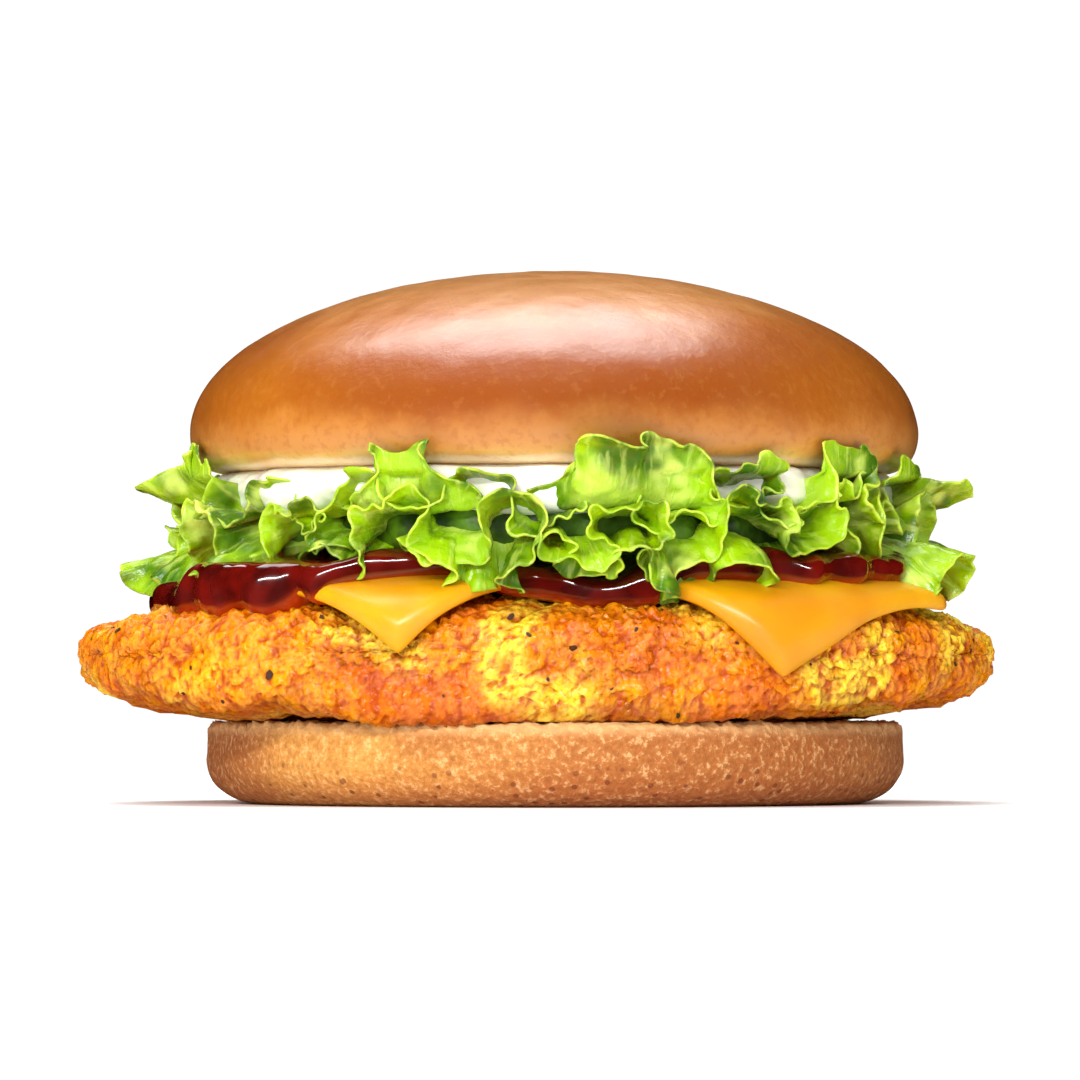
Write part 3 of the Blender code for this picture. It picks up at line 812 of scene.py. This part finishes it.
class Leaf:
    """A ruffled blade that runs round the burger from start to end, in millimetres along the circle.
    folds are its large crests and hollows, lean how far its margin turns up or down, in degrees, and
    reach its width, each as (place, value) knots."""

    def __init__(self, name, start, end, root_radius, root_z, folds, lean, reach, seed,
                 frill=(4.6, 1.9), curl=(1.7, 0.5), overhang=1.25, roll=14.0, smoothest=0.15, nod=0.0):
        self.name, self.start, self.end = name, start, end
        self.root_radius, self.root_z = root_radius, root_z
        self.folds, self.lean, self.reach = folds, lean, reach
        self.overhang, self.roll, self.smoothest, self.nod = overhang, roll, smoothest, nod
        draw = np.random.default_rng(seed)
        self.seed = seed
        fine = np.linspace(start, end, 6000)
        shift, height = ruffle(folds, fine, overhang)
        self.large = length_along(fine + shift, height)
        self.frills = wave_knots(draw, 0, self.large[-1], *frill)
        self.fine = fine
        x, h = self.large_and_frill(fine, 1.0)
        self.small = length_along(x, h)
        self.curls = wave_knots(draw, 0, self.small[-1], *curl)
        x, h = self.margin_plane(fine, 1.0)
        self.full = length_along(x, h)

    def frilly(self, at):
        """Some stretches of a margin are smooth, and others closely frilled."""
        places = np.column_stack([at, np.zeros(len(at)), np.zeros(len(at))])
        share = smooth_step(-0.35, 0.35, spread_noise(places, 13.0, 1, self.seed))
        return self.smoothest + (1.15 - self.smoothest) * share

    def direction_of(self, x, h):
        """The unit direction in which a wavy line runs, at each of its points."""
        slope_x, slope_h = np.gradient(x, axis=-1), np.gradient(h, axis=-1)
        size = np.maximum(np.hypot(slope_x, slope_h), 1e-9)
        return slope_x / size, slope_h / size

    def large_only(self, at, grown):
        """The blade's cross line with its large folds, grown from 0 at the root to 1 at the margin."""
        shift, height = ruffle(self.folds, at, self.overhang)
        return at + shift * grown, height * grown**1.25

    def large_and_frill(self, at, grown):
        """The same line with the frill laid on its folds."""
        x, h = self.large_only(at, grown)
        along_x, along_h = self.direction_of(x, h)
        shift, height = ruffle(self.frills, np.interp(at, self.fine, self.large), 0.9)
        size = grown**2.6 * self.frilly(at)
        moved_x = x - along_h * height * size + along_x * shift * size
        moved_h = h + along_x * height * size + along_h * shift * size
        return moved_x, moved_h

    def margin_plane(self, at, grown):
        """The same line with the smallest curls, which only the margin has."""
        x, h = self.large_and_frill(at, grown)
        along_x, along_h = self.direction_of(x, h)
        _, height = ruffle(self.curls, np.interp(at, self.fine, self.small), 0.0)
        size = grown**6 * self.frilly(at)
        return x - along_h * height * size, h + along_x * height * size

    def grid(self, step, rows):
        """(rows, columns, 3) points in millimetres, from the root to the margin, and their values."""
        columns = int(self.full[-1] / step)
        at = np.interp(np.linspace(0, self.full[-1], columns), self.full, self.fine)
        share = np.linspace(0, 1, rows) ** 0.85
        reach = curve_through(self.reach, at)[0]
        places = np.column_stack([np.interp(at, self.fine, self.small), np.zeros(columns), np.zeros(columns)])
        lobes = spread_noise(places, 9.0, 1, self.seed)
        teeth = spread_noise(places, 1.7, 1, self.seed + 0.5)
        toothed = smooth_step(-0.2, 0.35, spread_noise(places, 14.0, 1, self.seed + 0.8))
        ends = smooth_step(0, 9, at - self.start) * smooth_step(0, 9, self.end - at)
        reach = (reach * (1 + 0.22 * lobes) + toothed * 1.1 * teeth) * (0.35 + 0.65 * ends)
        lean = np.radians(curve_through(self.lean, at)[0])
        fold = ruffle(self.folds, at, 0)[1]
        xs, hs, turns = [], [], []
        for grown in share:
            x, h = self.margin_plane(at, grown)
            xs.append(x)
            hs.append(h * (0.4 + 0.6 * ends))
            upright = lean * min(1.0, grown * (1.6 if self.nod else 1.0)) ** 1.1
            nod = np.radians(self.nod) * smooth_step(0.55, 1.0, grown)
            turns.append(upright - nod + np.radians(self.roll) * fold / 5 * grown**2)
        xs, hs, turns = np.array(xs), np.array(hs), np.array(turns)
        run = np.diff(share, prepend=0)[:, None] * reach
        radius = self.root_radius + np.cumsum(run * np.cos(turns), axis=0)
        z = self.root_z + np.cumsum(run * np.sin(turns), axis=0)
        radius = radius - hs * np.sin(turns)
        z = z + hs * np.cos(turns)
        angle = xs / LEAF_CIRCLE
        points = np.stack([radius * np.sin(angle), -radius * np.cos(angle), z], axis=2)
        to_margin = (1 - share)[:, None] * reach
        along = np.repeat(places[None, :, 0], rows, axis=0)
        return points, to_margin, along


def grid_normals(points):
    """Unit vectors straight out from a grid of points."""
    across = np.gradient(points, axis=1)
    up = np.gradient(points, axis=0)
    normals = np.cross(across, up)
    return normals / np.maximum(np.linalg.norm(normals, axis=2, keepdims=True), 1e-9)


def press_between(points):
    """Leaves are squeezed flat under the mayonnaise, and pushed out in front of the crown where they
    rise past its rim."""
    radius = np.hypot(points[..., 0], points[..., 1])
    least = 55.7 * smooth_step(41.0, 48.6, points[..., 2])
    short = np.maximum(0, least - radius) * smooth_step(44.0, 48.0, points[..., 2])
    points[..., :2] *= (1 + 0.9 * short / np.maximum(radius, 1))[..., None]
    radius = np.hypot(points[..., 0], points[..., 1])
    ceiling = 43.0 + 5.2 * smooth_step(44.0, 51.0, radius) + 40 * smooth_step(52.5, 56.0, radius)
    over = points[..., 2] - ceiling
    points[..., 2] = np.where(over > 0, ceiling + 0.12 * over, points[..., 2])
    return points


def make_leaf(leaf, finish, step):
    """The leaf as a sheet that is thick at its root and thin at its margin."""
    rows = LEAF_ROWS
    points, to_margin, along = leaf.grid(step, rows)
    count = points.shape[1]
    flat = points.reshape(-1, 3)
    blister = 0.5 * spread_noise(flat, 2.8, 2, leaf.seed) + 0.6 * spread_noise(flat, 8.0, 1, leaf.seed + 3)
    points = points + grid_normals(points) * blister.reshape(rows, count, 1)
    points = press_between(points)
    normals = grid_normals(points)
    thickness = 0.3 + 0.9 * smooth_step(0.35, 0.0, np.linspace(0, 1, rows))[:, None, None]
    upper = (points + normals * thickness / 2).reshape(-1, 3)
    lower = (points - normals * thickness / 2).reshape(-1, 3)
    both = np.vstack([upper, lower]) * MM
    size = rows * count
    faces = []
    for j in range(rows - 1):
        for i in range(count - 1):
            k = j * count + i
            faces.append((k, k + 1, k + count + 1, k + count))
            faces.append((size + k, size + k + count, size + k + count + 1, size + k + 1))
    edge = list(range(count)) + [j * count + count - 1 for j in range(1, rows)]
    edge += [(rows - 1) * count + i for i in range(count - 2, -1, -1)]
    edge += [j * count for j in range(rows - 2, 0, -1)]
    for a, b in zip(edge, edge[1:] + edge[:1]):
        faces.append((b, a, size + a, size + b))
    piece = add_piece(leaf.name, both, faces, finish)
    give_values(piece, "to_margin", np.tile(to_margin.reshape(-1), 2))
    give_values(piece, "along_margin", np.tile(along.reshape(-1), 2))
    return piece


def leaf_finish():
    leaf = Finish("lettuce_blade", 0.34, Subsurface_Weight=0.2, Subsurface_Scale=0.003)
    leaf.shader.inputs["Specular IOR Level"].default_value = 0.7
    deep, lime = colour(56, 106, 0), colour(150, 192, 2)
    pale, rim = colour(216, 232, 104), colour(210, 230, 84)
    from_margin, along = leaf.value("to_margin"), leaf.value("along_margin")
    # Fine veins fan out from the root to the margin.
    spot = leaf.nodes.new("ShaderNodeCombineXYZ")
    leaf.put(leaf.sum(along, 1.3, "DIVIDE"), spot.inputs[0])
    leaf.put(leaf.sum(from_margin, 5.0, "DIVIDE"), spot.inputs[1])
    veins = leaf.nodes.new("ShaderNodeTexNoise")
    veins.inputs["Scale"].default_value = 1.0
    veins.inputs["Detail"].default_value = 2.0
    leaf.put(spot.outputs[0], veins.inputs["Vector"])
    vein = leaf.between(veins.outputs["Fac"], 0.5, 0.68)
    base = leaf.blend(leaf.between(leaf.speckle(0.011, 3), 0.38, 0.6), deep, lime)
    base = leaf.blend(leaf.between(from_margin, 5.0, 13.0, 0.0, 0.6), base, pale)
    base = leaf.blend(leaf.between(leaf.speckle(0.007, 2), 0.54, 0.72, 0.0, 0.75), base, pale)
    base = leaf.blend(leaf.sum(vein, 0.3, "MULTIPLY"), base, pale)
    # Partly a paler margin and partly painted highlight: a thin pale rim along the margin, as the edge
    # catches the light.
    edge_width = leaf.between(leaf.speckle(0.003, 2), 0.3, 0.7, -0.1, 0.55)
    base = leaf.blend(leaf.between(leaf.sum(from_margin, edge_width), 0.1, 0.5, 0.5, 0.0), base, rim)
    leaf.paint(base)
    leaf.gloss(leaf.between(leaf.speckle(0.003, 2), 0.3, 0.7, 0.2, 0.45))
    relief = leaf.bump(vein, 0.0002, 0.5)
    leaf.bump(leaf.speckle(0.0016, 3), 0.0005, 0.55, relief)
    return leaf.material


def core_finish():
    core = Finish("lettuce_heart_painted_shade", 0.5, Subsurface_Weight=0.1, Subsurface_Scale=0.002)
    # Painted shade: the heart is painted dark, for the shade in the gaps between the outer leaves.
    dark, green = colour(26, 54, 2), colour(84, 124, 8)
    core.paint(core.blend(core.between(core.speckle(0.006, 3), 0.4, 0.65), dark, green))
    core.bump(core.speckle(0.003, 3), 0.0006, 0.8)
    return core.material


def ring_at(radius, angles, z):
    """A ring of points round the burger's axis, the front one first."""
    height = np.broadcast_to(z, angles.shape)
    return np.column_stack([radius * np.sin(angles), -radius * np.cos(angles), height])


CORE_SECTION = [
    (0.02, 43.6), (0.5, 43.6), (0.85, 43.8), (0.97, 43.0), (1.0, 41.0), (0.99, 38.5), (0.95, 36.5),
    (0.6, 36.0), (0.02, 36.0),
]  # share of the radius, and z in millimetres


def make_lettuce_core():
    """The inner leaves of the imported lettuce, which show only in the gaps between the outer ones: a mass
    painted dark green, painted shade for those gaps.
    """
    count = 240
    angles = np.arange(count) * 2 * math.pi / count
    rim = 48.5 + 1.2 * ring_noise(angles, 50, 3.0)
    rings = np.array([ring_at(rim * share, angles, z) for share, z in CORE_SECTION]) * MM
    points = rings.reshape(-1, 3)
    points += radial(points) * (0.9 * MM * spread_noise(points, 4 * MM, 2, 1.0))[:, None]
    return closed_round("lettuce_core", points.reshape(rings.shape), core_finish())


def drawn_knots(draw, gap, low, high, alternate=False):
    """Knots of drawn values about a gap apart, round the sides and back and a little past both ends."""
    start, end = BACK_START, BACK_END
    knots = []
    place, sign = start + gap, 1
    while place < end + gap:
        value = draw.uniform(low, high)
        knots.append((place, sign * value if alternate else value))
        sign = -sign if alternate else 1
        place += gap * draw.uniform(0.7, 1.3)
    place, sign = knots[0][0] - gap, -1
    while place > start - gap:
        value = draw.uniform(low, high)
        knots.insert(0, (place, sign * value if alternate else value))
        sign = -sign if alternate else 1
        place -= gap * draw.uniform(0.7, 1.3)
    return knots


leaf_skin = leaf_finish()
draw = np.random.default_rng(11)
BACK_START, BACK_END = 78, 2 * math.pi * LEAF_CIRCLE - 78  # the back leaves lap over the front ones

upper_folds = [
    (-88, 5), (-76, -5), (-66, 4.5), (-57, -4), (-47, 3.5), (-38, -3), (-29, 3), (-20, -3), (-11, 3.5),
    (-2, -3.5), (7, 3.5), (17, -4), (27, 3.5), (36, -4), (44, 5), (54, -4.5), (64, 5), (75, -5),
    (88, 5),
]
upper_lean = [
    (-90, 40), (-74, 60), (-58, 35), (-44, 5), (-33, 12), (-22, 30), (-12, 15), (-3, 10), (8, 20),
    (19, 20), (29, 30), (36, 25), (43, 58), (52, 30), (62, 25), (74, 55), (90, 40),
]
upper_reach = [
    (-90, 14), (-74, 18), (-58, 14), (-44, 11), (-33, 12), (-22, 13), (-12, 11), (-3, 10), (8, 12),
    (19, 12), (29, 14), (36, 13), (43, 17), (52, 14), (62, 13), (74, 18), (90, 14),
]

middle_folds = [
    (-90, -4), (-80, 5), (-70, -5), (-60, 5), (-50, -4.5), (-41, 4.5), (-31, -4.5), (-23, 4.5),
    (-14, -4.5), (-6, 5), (2, -5), (10, 4), (18, -5), (28, 5), (38, -4), (47, 5), (57, -5), (67, 5),
    (78, -5), (89, 5),
]
middle_lean = [
    (-90, -10), (-60, -25), (-42, -20), (-30, -5), (-14, -20), (0, -10), (18, -25), (30, -15), (42, 10),
    (60, -20), (90, -5),
]
middle_reach = [
    (-90, 14), (-60, 14), (-30, 12), (0, 13), (30, 14), (60, 14), (90, 14),
]

lower_folds = [
    (-92, 4), (-82, -4), (-72, 4), (-63, -4), (-53, 4), (-44, -3.5), (-35, 3), (-27, -3), (-19, 4),
    (-10, -4), (-2, 3.5), (5, -3), (12, 3), (19, -4), (27, 4), (35, -3), (43, 3), (52, -4), (62, 4),
    (73, -4), (84, 4), (92, -4),
]
lower_lean = [
    (-90, -60), (-72, -70), (-50, -74), (-38, -60), (-25, -30), (-16, -78), (-9, -80), (0, -60),
    (9, -62), (18, -86), (23, -70), (31, -78), (40, -5), (48, -34), (56, -54), (68, -54), (78, -66),
    (90, -60),
]
lower_reach = [
    (-90, 14), (-76, 17), (-60, 16), (-48, 16), (-38, 11), (-25, 7), (-17, 12), (-10, 14), (0, 10),
    (9, 11), (18, 16), (23, 12), (31, 13), (40, 7), (48, 13), (56, 21), (68, 20), (78, 16), (90, 14),
]

leaves = []
for title, folds, lean, reach, radius, z, turned, seed in (
    ("upper", upper_folds, upper_lean, upper_reach, 42.0, 43.0, (3, 5), 21),
    ("middle", middle_folds, middle_lean, middle_reach, 43.0, 41.0, (3.5, 5.5), 22),
    ("lower", lower_folds, lower_lean, lower_reach, 43.5, 39.5, (3, 5), 23),
):
    leaves.append(Leaf(f"lettuce_{title}_front", -88, 88, radius, z, folds, lean, reach, seed))
    back_folds = drawn_knots(draw, 10, *turned, alternate=True)
    typical = [value for _, value in lean]
    back_lean = drawn_knots(draw, 12, min(typical) * 0.8, max(typical) * 0.8)
    widths = [value for _, value in reach]
    back_reach = drawn_knots(draw, 12, min(widths), max(widths))
    root = (BACK_START, BACK_END, radius, z)
    leaves.append(Leaf(f"lettuce_{title}_back", *root, back_folds, back_lean, back_reach, seed + 10))

# Broad smooth lobes that stand up in front of the crown, and a blade lying out on the fillet's left end.
leaves.append(Leaf("lettuce_lobe_right", -3, 30, 49.5, 43.0,
                   [(-10, -2), (-2, 2.0), (7, -2.4), (16, 2.2), (25, -1.5), (34, 2)],
                   [(-4, 76), (4, 86), (14, 80), (30, 30)],
                   [(-3, 9), (1, 15), (7, 17.5), (13, 13.5), (20, 10), (30, 6)], 41,
                   frill=(5.4, 1.1), curl=(2.2, 0.35), roll=12, nod=52))
leaves.append(Leaf("lettuce_lobe_left", -32, -11, 49.5, 43.0,
                   [(-38, 2), (-29, -2), (-22, 2.4), (-14, -2), (-6, 2)],
                   [(-32, 50), (-24, 84), (-15, 86), (-11, 60)],
                   [(-32, 6), (-25, 13), (-21.5, 10.5), (-16, 14), (-11, 8)], 42,
                   frill=(5, 1.0), curl=(2.0, 0.35), roll=10, nod=30))
leaves.append(Leaf("lettuce_blade_left", -96, -68, 50, 37.5,
                   [(-104, 2), (-96, -2.5), (-86, 2.5), (-77, -2.5), (-68, 2), (-60, -2)],
                   [(-96, -60), (-82, -32), (-68, -62)], [(-96, 8), (-82, 16), (-68, 10)], 43,
                   frill=(5, 1.0), curl=(2.0, 0.4), roll=8))

core = make_lettuce_core()
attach(core, "root")
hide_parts("lettuce")
for leaf in leaves:
    piece = make_leaf(leaf, leaf_skin, BACK_STEP if leaf.name.endswith("back") else FRONT_STEP)
    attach(piece, "root")


# ================================================================ mayonnaise
# A thick spread of mayonnaise between the lettuce and the crown, pressed outwards into a soft rounded
# edge with shallow folds.

MAYONNAISE_RADIUS = 51.3  # millimetres, as are the other sizes of the spread
MAYONNAISE_TOP = 49.4
MAYONNAISE_FOOT = 42.6
MAYONNAISE_BEAD = 4.5


def mayonnaise_finish():
    cream = Finish("mayonnaise_cream", 0.3, Subsurface_Weight=0.2, Subsurface_Scale=0.003)
    shaded, white = colour(248, 244, 224), colour(255, 252, 240)
    base = cream.blend(cream.between(cream.speckle(0.008, 2), 0.35, 0.65), shaded, white)
    cream.paint(base)
    cream.gloss(cream.between(cream.speckle(0.005, 2), 0.35, 0.65, 0.22, 0.42))
    cream.bump(cream.speckle(0.004, 2), 0.0003, 0.3)
    return cream.material


def make_mayonnaise():
    count = 480
    angles = np.arange(count) * 2 * math.pi / count
    rim = MAYONNAISE_RADIUS + 0.9 * ring_noise(angles, 22, 12.0) + 0.4 * ring_noise(angles, 50, 2.0)
    foot = MAYONNAISE_FOOT + 0.9 * ring_noise(angles, 20, 6.0)
    rows = []
    for share in (0.02, 0.4, 0.8):
        rows.append(ring_at(rim * share, angles, MAYONNAISE_TOP - 0.4))
    for step in range(17):
        turn = math.radians(90 - 180 * step / 16)
        radius = rim - MAYONNAISE_BEAD + MAYONNAISE_BEAD * math.cos(turn) ** 0.7
        z = (MAYONNAISE_TOP + foot) / 2 + (MAYONNAISE_TOP - foot) / 2 * math.sin(turn)
        rows.append(ring_at(radius, angles, z))
    for share in (0.8, 0.4, 0.02):
        rows.append(ring_at(rim * share, angles, foot + 1.2))
    rings = np.array(rows) * MM
    points = rings.reshape(-1, 3)
    stretched = points * [1, 1, 2.4]
    folds = 0.8 * spread_noise(stretched, 7 * MM, 2, 1.0) + 0.35 * spread_noise(stretched, 2.5 * MM, 1, 4.0)
    points = points + radial(points) * (MM * folds)[:, None]
    return closed_round("mayonnaise_spread", points.reshape(rings.shape), mayonnaise_finish())


mayonnaise = make_mayonnaise()
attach(mayonnaise, "root")
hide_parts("mayonnaise")


# ================================================================ crown
# The upper half of the bun: a plain low dome, egg-washed and oven-browned to a satin golden brown, with
# the finely pebbled skin of soft bread, and paler where its lower edge rose against the tin. A darker
# band round its middle height is partly browning and partly painted shade, and its top is painted
# lighter, painted light from above.

CROWN_WIDEST = 6.2 * MM  # how high above its cut face the crown is widest
CROWN_COLUMNS = 380


def crown_finish():
    egg_wash = {"Coat_Weight": 1.0, "Coat_Roughness": 0.32, "Coat_IOR": 1.6}
    skin = Finish("crown_skin", 0.34, **egg_wash, Subsurface_Weight=0.08, Subsurface_Scale=0.002)
    skin.shader.inputs["Specular IOR Level"].default_value = 0.7
    brown, dark, amber = colour(206, 114, 6), colour(180, 86, 4), colour(222, 134, 10)
    peach, cream, toast_and_shade_brown = colour(222, 148, 66), colour(228, 184, 112), colour(162, 72, 0)
    mottle = skin.speckle(0.024, 2)
    base = skin.blend(skin.between(mottle, 0.35, 0.65), brown, amber)
    base = skin.blend(skin.between(skin.speckle(0.05, 1), 0.45, 0.65, 0.0, 0.5), base, dark)
    # A band of browning and painted shade round the middle, then pale: the paler lower edge, and the painted
    # light on the top.
    base = skin.blend(skin.value("baked"), base, toast_and_shade_brown)
    base = skin.blend(skin.value("pale"), base, peach)
    base = skin.blend(skin.value("cream"), base, cream)
    grain = skin.speckle(0.0012, 3, roughness=0.6)
    base = skin.blend(skin.between(grain, 0.35, 0.5, 0.28, 0.0), base, dark)
    base = skin.blend(skin.between(grain, 0.52, 0.68, 0.0, 0.16), base, peach)
    skin.paint(base)
    skin.gloss(skin.between(skin.speckle(0.006, 2), 0.3, 0.7, 0.3, 0.4))
    relief = skin.bump(grain, 0.00022, 0.55)
    skin.bump(skin.speckle(0.0028, 2), 0.0003, 0.3, relief)
    return skin.material


def make_crown():
    low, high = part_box("bun_crown")
    radius = (high.x - low.x) / 2 - 0.2 * MM
    base_z, top_z = low.z, high.z
    widest_z = base_z + CROWN_WIDEST
    corners = []
    for step in range(60):
        angle = math.radians(89.5) * (1 - step / 59)
        corners.append((radius * math.cos(angle) ** 0.98, widest_z + (top_z - widest_z) * math.sin(angle)))
    for step in range(1, 15):
        angle = math.radians(80) * step / 14
        outward, down = math.cos(angle) ** 0.09, math.sin(angle) ** 0.9
        corners.append((radius * outward, widest_z - (widest_z - base_z) * down))
    corners.append((corners[-1][0] - 3 * MM, base_z))
    corners.append((0.5 * MM, base_z))
    profile = even_profile(corners, 0.75 * MM)
    under = (profile[:, 1] < base_z + 0.01 * MM) & (profile[:, 0] < 40 * MM)
    keep = ~under | (np.arange(len(profile)) % 8 == 0)
    rings = turn_profile(profile[keep], CROWN_COLUMNS)
    points = rings.reshape(-1, 3)
    height_share = (points[:, 2] - base_z) / (top_z - base_z)
    middle = np.array([0, 0, base_z])
    outward = points - middle
    outward /= np.maximum(np.linalg.norm(outward, axis=1, keepdims=True), 1e-9)
    skin_side = smooth_step(0.005, 0.05, height_share)
    swell = 0.5 * spread_noise(points, 26 * MM, 1, 2.0) + 0.10 * spread_noise(points, 5 * MM, 2, 4.0)
    points = points + outward * (MM * swell * skin_side)[:, None]
    tin_edge = smooth_step(0.2, 0.0, height_share)
    points = points + radial(points) * (MM * tin_edge * 0.35 * spread_noise(points, 7 * MM, 2, 6.0))[:, None]
    crown = closed_round("bun_crown_baked", points.reshape(rings.shape), crown_finish())
    wander = 0.06 * spread_noise(points, 12 * MM, 2, 8.0) + 0.03 * spread_noise(points, 3 * MM, 2, 3.0)
    height_on_skin = height_share + wander
    pale = smooth_step(0.32, 0.06, height_on_skin)
    cream = smooth_step(0.10, 0.0, height_share + 0.6 * wander)
    # A darker band round its middle height is partly browning and partly painted shade; it is painted weaker
    # towards the two sides, which turn away from the light.
    baked = 0.85 * smooth_step(0.06, 0.30, height_on_skin) * smooth_step(0.84, 0.50, height_on_skin)
    baked *= 1 - 0.55 * smooth_step(24 * MM, 50 * MM, np.abs(points[:, 0]))
    # Painted light: the top of the dome is painted paler, as if lit from above.
    pale += 0.9 * smooth_step(0.66, 0.90, height_on_skin)
    give_values(crown, "baked", np.append(baked, [0.0, 0.0]))
    give_values(crown, "pale", np.append(pale * 0.85, [0.6, 1.0]))
    give_values(crown, "cream", np.append(cream, [0.0, 1.0]))
    return crown


crown = make_crown()
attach(crown, "root")
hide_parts("bun_crown")


# ================================================================ floor, lamps and camera
# A white table that glows softly, with a painted shadow where its glow fades out round the burger, in a
# white surround. A softbox above and behind gives the crown its sheen, two wide ones above and in front
# light the burger, and a strip gives the wet layers their glints.


TABLE_HALF_SIDE = 0.42


def make_floor():
    """A white table that glows softly, with a painted shadow: the glow fades out just round the burger."""
    half = TABLE_HALF_SIDE
    floor = Finish("white_table", 0.6)
    floor.paint(floor.blend(floor.speckle(0.3, 1), (0.90, 0.90, 0.90), (0.93, 0.93, 0.93)))
    floor.shader.inputs["Specular IOR Level"].default_value = 0.1
    distance = floor.nodes.new("ShaderNodeVectorMath")
    distance.operation = "LENGTH"
    floor.put(floor.place, distance.inputs[0])
    # Painted shadow: no glow within 5 cm of the middle, rising to full glow by 10 cm.
    glow = floor.between(distance.outputs["Value"], 0.05, 0.10, 0.0, 0.4)
    floor.put(glow, floor.shader.inputs["Emission Strength"])
    floor.shader.inputs["Emission Color"].default_value = (1, 1, 1, 1)
    corners = [(-half, -half, 0), (half, -half, 0), (half, half, 0), (-half, half, 0)]
    table = add_piece("table_top", corners, [(0, 1, 2, 3)], floor.material)
    table.visible_glossy = False
    return table


def softbox(name, place, target, width, height, power, mirrored=True):
    """A rectangular lamp. One that isn't mirrored lights the burger but doesn't show in its gloss, as a
    lamp behind crossed polarising sheets."""
    data = bpy.data.lights.new(name, "AREA")
    data.shape, data.size, data.size_y, data.energy = "RECTANGLE", width, height, power
    lamp = bpy.data.objects.new(name, data)
    lamp.location = place
    lamp.rotation_euler = (Vector(target) - Vector(place)).to_track_quat("-Z", "Y").to_euler()
    lamp.visible_glossy = mirrored
    bpy.context.scene.collection.objects.link(lamp)
    return lamp


def make_surround(seen, lit):
    """White all round: seen at one strength, and lighting the burger at another."""
    world = bpy.data.worlds.new("studio")
    bpy.context.scene.world = world
    world.use_nodes = True
    nodes, links = world.node_tree.nodes, world.node_tree.links
    background = nodes["Background"]
    background.inputs["Color"].default_value = (1, 1, 1, 1)
    path = nodes.new("ShaderNodeLightPath")
    strength = nodes.new("ShaderNodeMapRange")
    strength.inputs["To Min"].default_value = lit
    strength.inputs["To Max"].default_value = seen
    links.new(path.outputs["Is Camera Ray"], strength.inputs["Value"])
    links.new(strength.outputs["Result"], background.inputs["Strength"])
    world.cycles_visibility.glossy = False


def make_camera():
    """Low, a little above the table, looking slightly up at the burger from the front."""
    data = bpy.data.cameras.new("camera")
    data.sensor_width = 36
    data.lens = 222
    camera = bpy.data.objects.new("camera", data)
    camera.location = (-0.00225, -1.0, 0.014)
    target = Vector((-0.00225, 0.0, 0.0395))
    camera.rotation_euler = (target - camera.location).to_track_quat("-Z", "Y").to_euler()
    bpy.context.scene.collection.objects.link(camera)
    bpy.context.scene.camera = camera


make_floor()
softbox("top_softbox", (-0.06, 0.24, 0.80), (0, 0, 0.05), 0.60, 0.56, 4.2)
softbox("overhead_softbox", (-0.30, -0.20, 1.25), (0, 0, 0.05), 1.1, 0.9, 9.0, mirrored=False)
softbox("front_softbox", (-0.60, -1.4, 0.40), (0, 0, 0.03), 1.2, 0.8, 10.0, mirrored=False)
strip = softbox("strip_lamp", (-0.12, -0.85, 0.42), (0, 0, 0.03), 0.8, 0.05, 6.5)
# A flag keeps the strip's bright line off the crown.
lit_by_strip = bpy.data.collections.new("lit_by_strip_lamp")
for obj in bpy.context.scene.objects:
    if obj.type == "MESH" and obj is not crown:
        lit_by_strip.objects.link(obj)
strip.light_linking.receiver_collection = lit_by_strip
make_surround(1.05, 0.5)
make_camera()
bpy.context.scene.view_settings.view_transform = "Standard"
